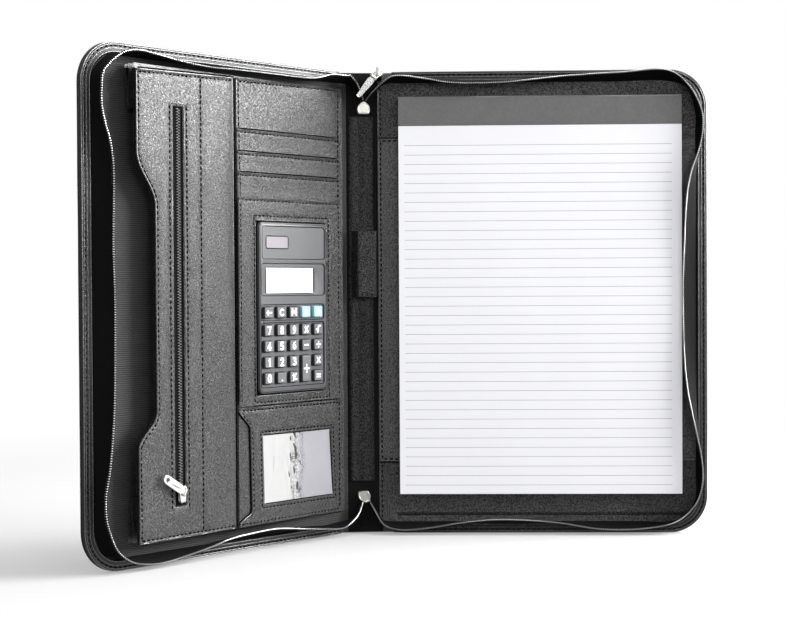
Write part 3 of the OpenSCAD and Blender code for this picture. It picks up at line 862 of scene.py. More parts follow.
# ------------------------------------------------------------------ right cover: leather lining over the crease, sleeve band
lift = lambda s, z, d=0: 0.62 * smooth01((3 - s) / 7.0)
V, F = tray([(7.3, 0.62), (8.4, 0.6), (12, 0.6), (20, 0.62), (28, 0.62)], -7.8, step=5.2, narc=14,
            wob=lambda s, z, d: lift(s, z) + soft(s, z, 0.05, 40, 31), yin=lambda s, z: lift(s, z) + soft(s, z, 0.05, 40, 31))
V, F = solidify(V, F, (0, 0.75, 0))
o = make("right_lining_leather", V, F, LEATHER_BAND, None, cross_right, merge=0.01, rep=["right_lining"], slot="lining_fabric", angle=50)
S_, E_ = tuple(fr_spine([[-4, 1, 0]])[0]), tuple(fr_right([[4, 1, 0]])[0])
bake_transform(o)

bz0, bz1 = 53.6, 296.2
S = lines(-8.0, 229.3, 8, marks=(-8.0, -5.6, 229.3), fine=(0, 0.2, 0.5, 1, 1.7, -0.5, -1, 2.8, 4.5, 7, 10))
Z = lines(bz0, bz1, 8, marks=(bz0, bz1, bz0 + 2.2, bz1 - 2.2), fine=(0, 0.2, 0.5, 1, 1.7, -0.2, -0.5, -1, -1.7))


def band_h(s, z):
    d = np.minimum(np.minimum(z - bz0, bz1 - z), s + 8.0)
    e = rnd(d + 0.01, 0.9)
    base = -0.45 - 0.85 * smooth01((3 - s) / 7.0)
    h = 1.0 + soft(s, z, 0.08, 30, 41) + groove(s + 5.6, 0.4, 0.7) + 0.25 * np.exp(-((s + 7.0) / 0.6) ** 2)
    h = h + groove(z - bz0 - 1.9, 0.4, 0.7) + groove(z - bz1 + 1.9, 0.4, 0.7) + 0.3 * np.exp(-((z - bz0 - 0.8) / 0.6) ** 2) + 0.3 * np.exp(-((z - bz1 + 0.8) / 0.6) ** 2)
    return base + h * e


V, F = sheet_grid(S, Z, band_h, lambda s, z: -0.55 - 0.75 * smooth01((3 - s) / 7.0))
o = make("pad_sleeve_band", right_local(V), F, LEATHER_SLEEVE_LIT, None, cross_right, rep=["pad_sleeve"], slot="leather_trim", angle=50)
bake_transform(o)
paths = [[(-5.6, bz0 + 2), (-5.6, bz1 - 2)], [(-4.8, bz0 + 1.9), (7.8, bz0 + 1.9)], [(-4.8, bz1 - 1.9), (7.8, bz1 - 1.9)]]
V, F = stitch_points(paths, pitch=3.8, length=2.7, rad=0.45, hfun=lambda s, z: -0.42 + 0.85 * smooth01((s + 4) / 7.0))
o = make("sleeve_stitching", right_local(V), F, THREAD, None, cross_right, angle=180, slot="leather_trim")
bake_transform(o)
V, F = tube_points([[(-7.2, bz0 + 0.7), (-7.2, bz1 - 0.7)], [(-6.6, bz0 + 0.75), (7.5, bz0 + 0.75)], [(-6.6, bz1 - 0.75), (7.5, bz1 - 0.75)]], rad=0.36,
                   hfun=lambda s, z: -0.42 + 0.85 * smooth01((s + 4) / 7.0))
o = make("sleeve_edge_folds", right_local(V), F, LEATHER_BEAD_HIGHLIGHT, None, cross_right, angle=180, slot="leather_trim")
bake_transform(o)
V, F = tube_points([[(-7.3, 10.5), (-7.3, bz0 - 1.2)], [(-7.3, bz1 + 1.2), (-7.3, 335)]], rad=0.36, hfun=-1.3)
make("lining_edge_folds", right_local(V), F, LEATHER_BEAD_HIGHLIGHT, "spine", fr_spine, angle=180, slot="leather_trim")
# painted shade: matte black tubes just outside the sleeve band's bottom and top edges stand in for the shadowed gap
# there
V, F = tube_points([[(-7.4, bz0 - 0.35), (7.9, bz0 - 0.35)], [(-7.4, bz1 + 0.35), (7.9, bz1 + 0.35)]], rad=0.42, hfun=lambda s, z: -0.75 + 0.7 * smooth01((s + 4) / 7.0))
o = make("sleeve_gap_shade", right_local(V), F, BLACK_LINES_AND_GAP_SHADE, None, cross_right, angle=180, slot="leather_trim")
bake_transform(o)
paths = [[(-5.6, 10.5), (-5.6, bz0 - 1.5)], [(-5.6, bz1 + 1.5), (-5.6, 335)]]
V, F = stitch_points(paths, pitch=3.8, length=2.7, rad=0.45, hfun=-1.3)
make("lining_stitching", right_local(V), F, THREAD, "spine", fr_spine, angle=180, slot="leather_trim")
# low seam along the bottom of the lining
S = lines(6.0, 226.0, 9); Z = lines(13.2, 15.6, 0.5)
V, F = sheet_grid(S, Z, lambda s, z: -0.6 + 0.42 * np.sqrt(np.clip(1 - ((z - 14.4) / 1.2) ** 2, 0, 1)) + soft(s, z, 0.03, 30, 2), -0.75)
make("lining_seam", right_local(V), F, LEATHER_IN, "right_cover", fr_right, slot="leather_trim", angle=60)

# ------------------------------------------------------------------ left cover lining
lift2 = lambda s, z, d=0: 1.2 * smooth01((4 - s) / 8.0)
V, F = tray([(7.3, 0.62), (8.4, 0.6), (12, 0.6), (20, 0.62), (28, 0.62)], -4.4, step=5.4, narc=14,
            wob=lambda s, z, d: lift2(s, z) + soft(s, z, 0.08, 36, 51), yin=lambda s, z: lift2(s, z) + soft(s, z, 0.08, 36, 51))
V, F = solidify(V, F, (0, 0.7, 0))
o = make("left_lining_fabric", V, F, LINING, None, cross_left, merge=0.01, rep=["left_lining"], slot="lining_fabric", angle=60)
tuple(fr_spine([[-SP + 4, 1, 0]])[0])
tuple(fr_left([[-5, 1, 0]])[0])
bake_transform(o)

# ------------------------------------------------------------------ pad
def prism_x(profile, x0, x1, cham=0.25):
    """A (y, z) outline run along x, its two ends slightly chamfered."""
    P = np.array(profile, float); c = P.mean(0); n = len(P)
    rings = [(x0, 1 - 0.0), (x0 + cham, 1.0), (x1 - cham, 1.0), (x1, 1.0)]
    V = []
    for i, (x, k) in enumerate(rings):
        q = P.copy()
        if i in (0, 3):
            dd = q - c; L = np.linalg.norm(dd, axis=1)[:, None]; q = q - dd / L * cham * 0.7
        V += [(x, a, b) for a, b in q]
    F = []
    for i in range(3):
        for k in range(n):
            a = i * n + k; b2 = i * n + (k + 1) % n
            F.append((a, b2, b2 + n, a + n))
    F.append(tuple(range(n))[::-1]); F.append(tuple(3 * n + k for k in range(n)))
    return np.array(V), F


PX, PZ, PW, PH = 8.3, 29.8, 210.0, 297.0
# sheets: a stack of thin sheets, each a little out of line at the edges
rg = np.random.default_rng(5)
NL = 13
ys = np.linspace(-1.65, -6.75, NL * 2)
V = []; F = []
for k in range(NL):
    j = rg.normal(0, 0.07, 4)
    y0 = -1.62 - k * (5.1 / NL); y1 = y0 - 5.1 / NL * 0.8
    x0, x1, z0, z1 = PX + 0.1 + j[0], PX + PW - 0.15 + j[1], PZ + 0.15 + j[2], PZ + PH - 0.8
    b0 = len(V)
    nseg = 8
    ring = [(x0, z0)] + [(x1, z0)] + [(x1, z0 + (z1 - z0) * t) for t in (0.33, 0.66, 1)] + [(x0, z1)] + [(x0, z0 + (z1 - z0) * t) for t in (0.66, 0.33)]
    for (x, z) in ring:
        V.append((x, y0, z))
    for (x, z) in ring:
        V.append((x, y1, z))
    m_ = len(ring)
    F.append(tuple(b0 + i for i in range(m_))); F.append(tuple(b0 + m_ + i for i in range(m_))[::-1])
    for i in range(m_):
        F.append((b0 + i, b0 + m_ + i, b0 + m_ + (i + 1) % m_, b0 + (i + 1) % m_))
make("pad_sheets", np.array(V), F, PAPER_EDGE, "notepad", fr_right, smooth=False, rep=["notepad_sheets"], slot="pad_paper")

# top sheet, very slightly uneven
S = lines(PX, PX + PW, 6); Z = lines(PZ + 0.4, PZ + PH - 22.2, 6)


def page(s, z):
    e = np.clip((z - PZ) / 60, 0, 1)
    return 7.02 + 0.16 * np.sin((s - PX) / PW * math.pi) * (1 - e * 0.6) + soft(s, z, 0.05, 110, 61) * np.clip((300 - z) / 60, 0, 1)


V, F = sheet_grid(S, Z, page, lambda s, z: page(s, z) - 0.12)
make("pad_top_sheet", right_local(V), F, PAPER, "notepad_top_sheet", fr_right, rep=["notepad_top_sheet"], slot="pad_paper", angle=60)
VV = []; FF = []
for k in range(37):
    z = 36.8 + k * 7.036
    xs = np.linspace(12.6, 210.9, 34)
    b0 = len(VV)
    for x in xs:
        h = float(page(x, z)) + 0.035
        VV += [(x, h, z - 0.16), (x, h, z + 0.16), (x, h - 0.08, z + 0.16), (x, h - 0.08, z - 0.16)]
    for i in range(len(xs) - 1):
        a = b0 + i * 4
        for q in range(4):
            r_ = (q + 1) % 4
            FF.append((a + q, a + r_, a + 4 + r_, a + 4 + q))
    FF.append((b0, b0 + 3, b0 + 2, b0 + 1)); a = b0 + 4 * (len(xs) - 1); FF.append((a, a + 1, a + 2, a + 3))
make("pad_ruling", right_local(VV), FF, RULE, "notepad_top_sheet", fr_right, smooth=False, slot="pad_paper")

# binding strip: folded over the top of the pad
zt = PZ + PH; zb = zt - 22
prof = [(-6.78, zb), (-7.02, zb + 0.12), (-7.08, zb + 0.6), (-7.05, zb + 6), (-6.98, zb + 12), (-6.95, zt - 2.0), (-6.8, zt - 1.1), (-6.3, zt - 0.25), (-5.4, zt + 0.02),
        (-3, zt + 0.05), (-0.6, zt + 0.02), (0.15, zt - 0.3), (0.38, zt - 1.0), (0.38, zt - 21), (0.2, zb + 0.1), (-0.2, zb), (-0.2, zt - 0.9), (-6.2, zt - 0.9), (-6.3, zb)]
V, F = prism_x(prof, PX, PX + PW, 0.2)
# cut it into more columns so that the strip can be uneven
cols = np.linspace(PX, PX + PW, 40); P = np.array(prof); n = len(P); V = []; F = []
for x in cols:
    w = 0.05 * math.sin(x / 17) + 0.04 * math.sin(x / 7.3 + 1)
    for (a, b2) in P:
        V.append((x, a - (w if a < -6.4 else 0), b2))
for i in range(len(cols) - 1):
    for k in range(n):
        a = i * n + k; b2 = i * n + (k + 1) % n
        F.append((a, b2, b2 + n, a + n))
F.append(tuple(range(n))[::-1]); F.append(tuple((len(cols) - 1) * n + k for k in range(n)))
make("pad_binding_strip", np.array(V), F, STRIP, "notepad", fr_right, rep=["notepad_binding"], slot="pad_strip", angle=35)


# ------------------------------------------------------------------ zip tapes and teeth
def ins_right(x, z):
    return x, z


def base_pt(x, z, inset=8.15):
    if x > W - R and z < R:
        d = np.array([x - (W - R), z - R]); d /= np.linalg.norm(d)
        return W - R + d[0] * (R - inset), R + d[1] * (R - inset)
    if x > W - R and z > H - R:
        d = np.array([x - (W - R), z - (H - R)]); d /= np.linalg.norm(d)
        return W - R + d[0] * (R - inset), H - R + d[1] * (R - inset)
    if x > W - R:
        return W - inset, z
    return (x, inset) if z < H / 2 else (x, H - inset)


def cover_track(pts):
    """(s, z) of the teeth on a cover: gives the tape's top and foot in the cover's frame."""
    out = []
    for s, z in pts:
        bx, bz = base_pt(s, z)
        d = math.hypot(s - bx, z - bz)
        h = min(14.3, math.sqrt(max(15.4 ** 2 - d * d, 40)))
        out.append(((s, 0.9 - h, z), (bx, 0.9, bz)))
    return out


B = lambda s, i: (s, i)                    # bottom edge
Tt = lambda s, i: (s, H - i)               # top edge
Ee = lambda z, i: (W - i, z)               # outer edge
RIGHT_TRACK = [B(8, 4.2), B(30, 5.7), B(53, 9.4), B(75, 11.6), B(97, 11.6), B(127, 9.3), B(156, 4.8), B(186, 4.8), (211, 9.2), (220, 15),
               Ee(26, 9.2), Ee(41, 5.6), Ee(56, 6.3), Ee(78, 10.7), Ee(115, 17.2), Ee(174, 19.3), Ee(211, 18.5), Ee(255, 16.2), Ee(270, 13.3),
               Ee(285, 8.1), (232.8, 299), (232, 314), (223, 332), (209, 343.2), Tt(172, 3.6), Tt(128, 6.1), Tt(84, 10.1), Tt(47, 9.8), Tt(32, 7.4), Tt(8, 4.4)]
LEFT_TRACK = [B(15, 7.2), B(33, 8.5), B(55, 11.1), B(83, 14.3), B(104, 13.9), B(124, 12.6), B(143, 9.1), B(163, 6.1), B(185, 3.7), B(199, 4.6), (211, 7.8),
              (222, 16), (228, 28), (231, 39), (231, 53), Ee(67, 9.8), Ee(87, 12.4), Ee(109, 14.2), Ee(150, 15.7), Ee(175, 16), Ee(212, 14.5), Ee(253, 15.8),
              Ee(267, 15.1), Ee(281, 12.1), Ee(291, 8.7), Ee(302, 6.3), Ee(314, 6.4), Ee(324, 8.2), (215, 337), Tt(204, 6.1), Tt(186, 7.2), Tt(172, 9),
              Tt(156, 10.4), Tt(140, 11.2), Tt(121, 10.7), Tt(80, 10.3), Tt(59, 10.3), Tt(41, 9.4), Tt(24, 5.4), Tt(8, 4.8)]
# from the clamps on the spine to the covers: (top of tape), (foot of tape) in the spine's frame
R_LO = [((-15.2, -1.4, 24.2), (-12.6, 1.6, 21.6)), ((-10.9, -5.0, 16.5), (-8.2, 1.9, 13.4)), ((-7.4, -9.0, 10.3), (-5.0, 1.6, 9.4)), ((-3.9, -12.0, 6.9), (-1.6, 1.3, 8.4))]
R_HI = [((0.2, -13.8, 340.2), (1.6, 1.3, 337.8)), ((-6.6, -12.0, 335.0), (-3.6, 1.6, 336.6)), ((-13.0, -8.0, 328.8), (-9.2, 1.9, 331.6)), ((-16.4, -3.0, 324.4), (-13.2, 1.8, 327.0))]
L_LO = [((-20.8, -1.4, 22.8), (-24.0, 1.6, 21.0)), ((-23.9, -6.5, 15.4), (-26.6, 1.9, 14.0)), ((-29.6, -13.0, 10.2), (-30.6, 1.6, 10.0))]
L_HI = [((-28.8, -13.5, 341.6), (-31.6, 1.4, 337.8)), ((-25.1, -12.0, 338.0), (-28.2, 1.8, 336.2)), ((-21.2, -8.0, 331.4), (-25.0, 1.9, 331.6)), ((-18.9, -3.0, 325.2), (-22.4, 1.8, 325.6))]


def track_rows(lo, cover, hi, fr_c, sx):
    rows = []
    for t, b2 in lo:
        rows.append(np.r_[fr_spine([t])[0], fr_spine([b2])[0]] * 1000)
    for t, b2 in cover_track(cover):
        rows.append(np.r_[fr_c([[t[0] * sx, t[1], t[2]]])[0], fr_c([[b2[0] * sx, b2[1], b2[2]]])[0]] * 1000)
    for t, b2 in hi:
        rows.append(np.r_[fr_spine([t])[0], fr_spine([b2])[0]] * 1000)
    return np.array(rows)


def spline_by_top(P, step):
    """Smooth curve through 6-number rows, evenly spaced along the first three."""
    Q = np.vstack([2 * P[0] - P[1], P, 2 * P[-1] - P[-2]])
    out = []
    for i in range(1, len(Q) - 2):
        p0, p1, p2, p3 = Q[i - 1:i + 3]
        d = lambda a, c: max(np.linalg.norm((a - c)[:3]), 1e-6) ** 0.5
        t01, t12, t23 = d(p0, p1), d(p1, p2), d(p2, p3)
        m1 = (p2 - p1) + t12 * ((p1 - p0) / t01 - (p2 - p0) / (t01 + t12))
        m2 = (p2 - p1) + t12 * ((p3 - p2) / t23 - (p3 - p1) / (t12 + t23))
        for u in np.linspace(0, 1, 14, endpoint=False):
            out.append((2 * u**3 - 3 * u**2 + 1) * p1 + (u**3 - 2 * u**2 + u) * m1 + (-2 * u**3 + 3 * u**2) * p2 + (u**3 - u**2) * m2)
    out.append(P[-1]); out = np.array(out)
    s = np.r_[0, np.cumsum(np.linalg.norm(np.diff(out[:, :3], axis=0), axis=1))]
    n = int(round(s[-1] / step)) + 1
    t = np.linspace(0, s[-1], n)
    return np.stack([np.interp(t, s, out[:, k]) for k in range(6)], 1)


def unit(v):
    return v / np.maximum(np.linalg.norm(v, axis=-1, keepdims=True), 1e-9)


def zip_tape(name, rows, start, end, nodes):
    C = spline_by_top(rows, 2.2)
    Tp, Bp = C[:, :3], C[:, 3:]
    tan = unit(np.gradient(Tp, axis=0))
    up = unit(Tp - Bp)
    nrm = unit(np.cross(tan, up))
    n = len(C)
    ks = [0, 0.12, 0.3, 0.5, 0.7, 0.86, 0.94, 1.0]
    th = [0.55, 0.5, 0.45, 0.42, 0.45, 0.55, 0.85, 0.8]
    L = np.linalg.norm(Tp - Bp, axis=1)[:, None]
    front = []; back = []
    arc = np.arange(n) * 2.2
    for k, t in zip(ks, th):
        c = Bp + (Tp - Bp) * k + nrm * (np.sin(k * math.pi) * (0.9 + 0.5 * np.sin(arc / 37.0) + 0.25 * np.sin(arc / 11.0 + 2)))[:, None]
        front.append(c + nrm * t); back.append(c - nrm * t)
    ring = front + back[::-1]
    m = len(ring)
    V = np.stack(ring, 1).reshape(-1, 3); F = []
    for i in range(n - 1):
        for k in range(m):
            a = i * m + k; b2 = i * m + (k + 1) % m
            F.append((a, b2, b2 + m, a + m))
    F.append(tuple(range(m))[::-1]); F.append(tuple((n - 1) * m + k for k in range(m)))
    o = make(name + "_zip_tape_woven", V, F, TAPE, None, lambda v: np.array(v) / 1000, rep=[nodes[0]], slot="zip_tape", angle=60)
    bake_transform(o)
    # teeth
    C = spline_by_top(rows, 1.62)
    Tp, Bp = C[:, :3], C[:, 3:]
    tan = unit(np.gradient(Tp, axis=0)); up = unit(Tp - Bp); nrm = unit(np.cross(tan, up)); up = unit(np.cross(nrm, tan))
    prof = [(-0.62, -0.9), (-0.62, 0.0), (-0.3, 0.7), (0.3, 0.7), (0.62, 0.0), (0.62, -0.9)]
    hl = 0.25
    V = []; F = []
    for i in range(len(C)):
        off = 0.0
        b0 = len(V)
        for sgn, kk in ((-hl, 0.9), (-hl * 0.6, 1.0), (hl * 0.6, 1.0), (hl, 0.9)):
            for a, u in prof:
                V.append(Tp[i] + tan[i] * sgn + nrm[i] * a * kk + up[i] * (u * kk + off))
        for q in range(3):
            for k in range(6):
                a = b0 + q * 6 + k; b2 = b0 + q * 6 + (k + 1) % 6
                F.append((a, b2, b2 + 6, a + 6))
        F.append(tuple(b0 + k for k in range(6))[::-1]); F.append(tuple(b0 + 18 + k for k in range(6)))
    o = make(name + "_zip_teeth_row", np.array(V), F, TEETH, None, lambda v: np.array(v) / 1000, rep=[nodes[1]], slot="zip_teeth", angle=30)
    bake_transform(o)


zip_tape("right", track_rows(R_LO, RIGHT_TRACK, R_HI, fr_right, 1),
         tuple(fr_spine([[-9, -5, 0]])[0]), tuple(fr_right([[10, -5, 0]])[0]), ("right_zip_tape", "right_zip_teeth"))
zip_tape("left", track_rows(L_LO, LEFT_TRACK, L_HI, fr_left, -1),
         tuple(fr_spine([[-27, -5, 0]])[0]), tuple(fr_left([[-12, -5, 0]])[0]), ("left_zip_tape", "left_zip_teeth"))


# ------------------------------------------------------------------ document pocket front
def ztop(s):
    return 328.5 + 5 * (206 - s) / 202.8


def edge_s(z):
    z = np.asarray(z, float)
    e = np.full_like(z, 206.0)
    e = np.where((z > 80) & (z < 103), 206 - 16 * (1 - np.cos(np.pi * (z - 80) / 23)) / 2, e)
    e = np.where((z >= 103) & (z <= 239), 190.0, e)
    e = np.where((z > 239) & (z < 274), 190 + 16 * (1 - np.cos(np.pi * (z - 239) / 35)) / 2, e)
    return e


def warp_pocket(s, z):
    zt_ = ztop(s)
    e = 333.5 - z
    z2 = np.where(e < 5, zt_ - e, np.where(z > 306, 306 + (z - 306) * (zt_ - 5 - 306) / (328.5 - 306), z))
    ed = edge_s(z2)
    e2 = 206 - s
    s2 = np.where(e2 < 5, ed - e2, np.where(s > 178, 178 + (s - 178) * (ed - 5 - 178) / 23, s))
    return s2, z2


SLOT0, SLOT1, SZ0, SZ1 = 164.3, 173.3, 40.0, 306.0
EF = (0, 0.1, 0.3, 0.65, 1.15, 1.8, 2.5, 3.2, 4.4)
ENG = tuple(-e for e in EF)
S = lines(115.0, 206.0, 3.6, marks=((115.0, EF), (206.0, ENG), (148.1, STI), (SLOT0, ENG[:7]), (SLOT1, EF[:7]), (161.1, STI), (176.5, STI)), fine=())
Z = lines(17.5, 333.5, 4.0, marks=((17.5, EF), (333.5, ENG), (SZ0, ENG[:5]), (SZ1, EF[:5])), fine=())


def pocket_h(s, z):
    e_out = 206 - s; e_top = 333.5 - z; e_bot = z - 17.5
    d = np.minimum(np.minimum(e_out, e_top), e_bot)
    e = rnd(d + 0.02, 1.3)
    h = 2.25 + soft(s, z, 0.22, 55, 71) + soft(s, z, 0.08, 17, 72)
    # crowned between the seams
    h = h + 0.45 * np.sin(np.clip((s - 116) / 32, 0, 1) * np.pi) * (s < 148.1) + 0.28 * np.sin(np.clip((s - 148.1) / 13, 0, 1) * np.pi) * ((s >= 148.1) & (s < 161.1)) \
        + 0.4 * np.sin(np.clip((s - 177) / 27, 0, 1) * np.pi) * (s > 177)
    h = h + groove(s - 148.1, 0.6, 0.7)
    inz = (z > 37.6) & (z < 307)
    h = h + (groove(s - 161.1, 0.5, 0.7) + groove(s - 176.5, 0.5, 0.7)) * inz
    h = h + groove(e_out - 2.5, 0.5, 0.7) + groove(e_top - 2.6, 0.5, 0.7) + groove(e_bot - 2.6, 0.5, 0.7)
    # raised folded lip outside the stitches
    h = h + 0.5 * np.exp(-((e_out - 1.2) / 0.8) ** 2) + 0.5 * np.exp(-((e_top - 1.2) / 0.8) ** 2) + 0.4 * np.exp(-((e_bot - 1.1) / 0.8) ** 2)
    # into the zip's slot
    ds = np.maximum(np.maximum(SLOT0 - s, s - SLOT1), np.maximum(SZ0 - z, z - SZ1))
    lip = rnd(np.clip(ds, 0, None) + 0.02, 1.0)
    h = np.where(ds < 1.6, np.minimum(h, 1.15 + (h - 1.15) * lip), h)
    h = h + 0.38 * np.exp(-((ds - 1.3) / 0.7) ** 2)
    # into the groove beside the card column
    k = smooth01((s - 113.5) / 9.5)
    h = 0.45 + (h - 0.45) * k
    return np.maximum(h * e, 0.12)


keep = lambda s, z: ~((s > SLOT0) & (s < SLOT1) & (z > SZ0) & (z < SZ1))
V, F = sheet_grid(S, Z, pocket_h, 0.02, keep=keep, warp=warp_pocket)
make("file_pocket_leather", left_local(V), F, LEATHER_ORG, "document_pocket", fr_pocket, rep=["file_pocket_front"], slot="leather_trim", angle=50)


def offset_edge(off, zlo, zhi, step=1.5):
    zz = np.arange(zlo, zhi, step)
    P = np.stack([edge_s(zz), zz], 1)
    t = np.gradient(P, axis=0); t /= np.linalg.norm(t, axis=1)[:, None]
    nrm = np.stack([-t[:, 1], t[:, 0]], 1)
    nrm = np.where(nrm[:, :1] > 0, -nrm, nrm)
    return P + nrm * off


hp = lambda s, z: float(pocket_h(np.array(s, float), np.array(z, float))) - 0.02
paths = [offset_edge(2.5, 20.5, 326.0),
         [(s, ztop(s) - 2.6) for s in np.linspace(203.2, 118, 20)],
         [(203.2, 20.2), (118, 20.2)],
         [(148.1, 20.6), (148.1, 327)],
         [(161.1, 37.6), (161.1, 307)], [(176.5, 37.6), (176.5, 307)], [(161.6, 37.4), (176.2, 37.4)], [(161.6, 307.4), (176.2, 307.4)]]
V, F = stitch_points(paths, pitch=3.7, length=2.6, rad=0.48, hfun=lambda s, z: 2.1)
hb_ = float(pocket_h(np.array(206 - 0.8), np.array(170.0)))
pk_v = np.zeros((0, 3)); pk_f = []
for pt_, r_, h_ in (([offset_edge(0.75, 18.4, 328.4)], 0.46, hb_ - 0.2),
                    ([[(s, ztop(s) - 0.8) for s in np.linspace(204.4, 116.4, 24)]], 0.46, hb_ - 0.2),
                    ([[(204.4, 18.3), (116.4, 18.3)]], 0.4, hb_ - 0.3),
                    ([[(116.2, 18.6), (116.2, 331.5)]], 0.34, lambda s, z: hp(s, 170.0) - 0.08),
                    ([[(SLOT0 - 0.9, SZ0 - 0.9), (SLOT0 - 0.9, SZ1 + 0.9)], [(SLOT1 + 0.9, SZ0 - 0.9), (SLOT1 + 0.9, SZ1 + 0.9)],
                      [(SLOT0 - 0.6, SZ0 - 0.9), (SLOT1 + 0.6, SZ0 - 0.9)], [(SLOT0 - 0.6, SZ1 + 0.9), (SLOT1 + 0.6, SZ1 + 0.9)]], 0.34, 2.12)):
    v, f = tube_points(pt_, rad=r_, hfun=h_, step=2.4)
    pk_f += [tuple(i + len(pk_v) for i in q) for q in f]; pk_v = np.vstack([pk_v, v])
make("file_pocket_edge_folds", left_local(pk_v), pk_f, LEATHER_BEAD_HIGHLIGHT, "document_pocket", fr_pocket, angle=180, slot="leather_trim")
# painted shade: matte black tubes just outside the pocket's outer and top edges, in the groove beside the card column
# and inside the zip slot's lips, where the gaps fall into shadow
pk_v = np.zeros((0, 3)); pk_f = []
for pt_, r_, h_ in (([offset_edge(-0.3, 18.0, 329.0)], 0.5, 1.5),
                    ([[(s, ztop(s) + 0.3) for s in np.linspace(204.6, 116.0, 24)]], 0.5, 1.5),
                    ([[(114.7, 18.6), (114.7, 331.5)]], 0.55, 0.75),
                    ([[(SLOT0 + 0.35, SZ0), (SLOT0 + 0.35, SZ1)], [(SLOT1 - 0.35, SZ0), (SLOT1 - 0.35, SZ1)], [(SLOT0, SZ0 + 0.35), (SLOT1, SZ0 + 0.35)],
                      [(SLOT0, SZ1 - 0.35), (SLOT1, SZ1 - 0.35)]], 0.45, 1.25)):
    v, f = tube_points(pt_, rad=r_, hfun=h_, step=2.4)
    pk_f += [tuple(i + len(pk_v) for i in q) for q in f]; pk_v = np.vstack([pk_v, v])
make("file_pocket_gap_shade", left_local(pk_v), pk_f, BLACK_LINES_AND_GAP_SHADE, "document_pocket", fr_pocket, angle=180, slot="leather_trim")
make("file_pocket_stitching", left_local(V), F, THREAD, "document_pocket", fr_pocket, angle=180, slot="leather_trim")

# pocket zip: tape sunk behind the lips, nylon coil
S = lines(162.0, 175.6, 1.5, marks=((168.8, (-1.6, -1.2, 0, 1.2, 1.6)),), fine=())
Z = lines(37.5, 308.5, 5)
V, F = sheet_grid(S, Z, lambda s, z: 1.25 + 0.25 * np.exp(-((s - 168.8) / 1.8) ** 2) + soft(s, z, 0.04, 20, 3), 0.7)
make("pocket_zip_tape", left_local(V), F, TAPE, "document_pocket", fr_pocket, rep=["pocket_zip"], slot="zip_tape", angle=60)
VV = []; FF = []
pit = 1.9
zz = np.arange(41.2, 305.2, pit)
for i, z in enumerate(zz):
    for sd in (-1, 1):
        b0 = len(VV)
        zc = z + (0 if sd < 0 else pit / 2)
        ns, nr = 6, 6
        for a in range(nr):
            t = a / (nr - 1)
            cs = 168.8 + sd * (1.45 - 1.35 * t); ch = 1.65 + 0.75 * math.sin(math.pi * (0.12 + 0.7 * t)); cz = zc + 0.32 * t
            for k in range(ns):
                an = 2 * math.pi * k / ns
                VV.append((cs, ch + 0.36 * math.sin(an), cz + 0.36 * math.cos(an)))
        for a in range(nr - 1):
            for k in range(ns):
                q = b0 + a * ns + k; r_ = b0 + a * ns + (k + 1) % ns
                FF.append((q, r_, r_ + ns, q + ns))
        FF.append(tuple(b0 + k for k in range(ns))[::-1]); FF.append(tuple(b0 + (nr - 1) * ns + k for k in range(ns)))
make("pocket_zip_coil", left_local(VV), FF, COIL_WITH_PAINTED_SHEEN, "document_pocket", fr_pocket, slot="zip_tape", angle=180)

# ------------------------------------------------------------------ card column
C0, C1 = 4.6, 113.6


def warp_top(s, z):
    zt_ = ztop(s); e = 333.5 - z
    return s, np.where(e < 5, zt_ - e, np.where(z > 300, 300 + (z - 300) * (zt_ - 5 - 300) / (328.5 - 300), z))


def column(name, z0, z1, h0, seed, marks_z=(), marks_s=(), extra=None, keep=None, warp=None, top_round=0.9, back=0.02, step=4.0, mat=None, bottom_round=None, rep=(), puff=0.0):
    S = lines(C0, C1, step, marks=((C1, ENG), (111.2, STI)) + tuple(marks_s), fine=())
    Z = lines(z0, z1, step, marks=((z1, ENG), (z0, EF)) + tuple(marks_z), fine=())

    def hf(s, z):
        d = np.minimum(C1 - s, z1 - z)
        if bottom_round:
            d = np.minimum(d, z - z0)
        e = rnd(d + 0.02, top_round)
        h = h0(s, z) if callable(h0) else h0
        h = h + soft(s, z, 0.10, 34, seed) + groove(111.2 - s, 0.38, 0.65) + 0.32 * np.exp(-((C1 - s - 1.0) / 0.7) ** 2)
        h = h + 0.42 * np.exp(-((z1 - z - 0.8) / 0.6) ** 2) + groove(z1 - z - 2.2, 0.42, 0.6)
        if extra is not None:
            h = h + extra(s, z)
        bk = back(s, z) if callable(back) else back
        return bk + np.maximum(h - bk, 0.1) * np.maximum(e, 0.12)
    V, F = sheet_grid(S, Z, hf, back, keep=keep, warp=warp)
    return make(name, left_local(V), F, mat or LEATHER_ORG, "document_pocket", fr_pocket, slot="leather_trim", angle=50, rep=rep), hf


column("organiser_base_leather", 17.5, 333.5, 1.45, 81, warp=warp_top, bottom_round=True)
slot_tops = [295.6, 280.2, 265.6, 248.5]
for i, zt_ in enumerate(slot_tops[:3]):
    lo = slot_tops[i + 1] - 9
    base = 1.5 + 0.42 * (i + 1)

    def hh(s, z, zt_=zt_, base=base, lo=lo):
        t = np.clip((z - (lo + 9)) / (zt_ - lo - 9), 0, 1)
        bow = 0.35 * (t ** 2) + 0.12 * np.sin(np.clip((s - C0) / (C1 - C0), 0, 1) * np.pi)
        return base + bow - 0.25 * np.sin(t * np.pi)
    column("card_slot_%d" % (i + 1), lo, zt_, hh, 90 + i, top_round=0.55, step=3.0, back=lambda s, z, b_=base: np.full_like(s, b_ - 0.75), rep=["card_slots"] if i == 0 else ())

CS0, CS1, CZ0, CZ1 = 23.6, 96.2, 109.6, 231.9          # opening round the calculator


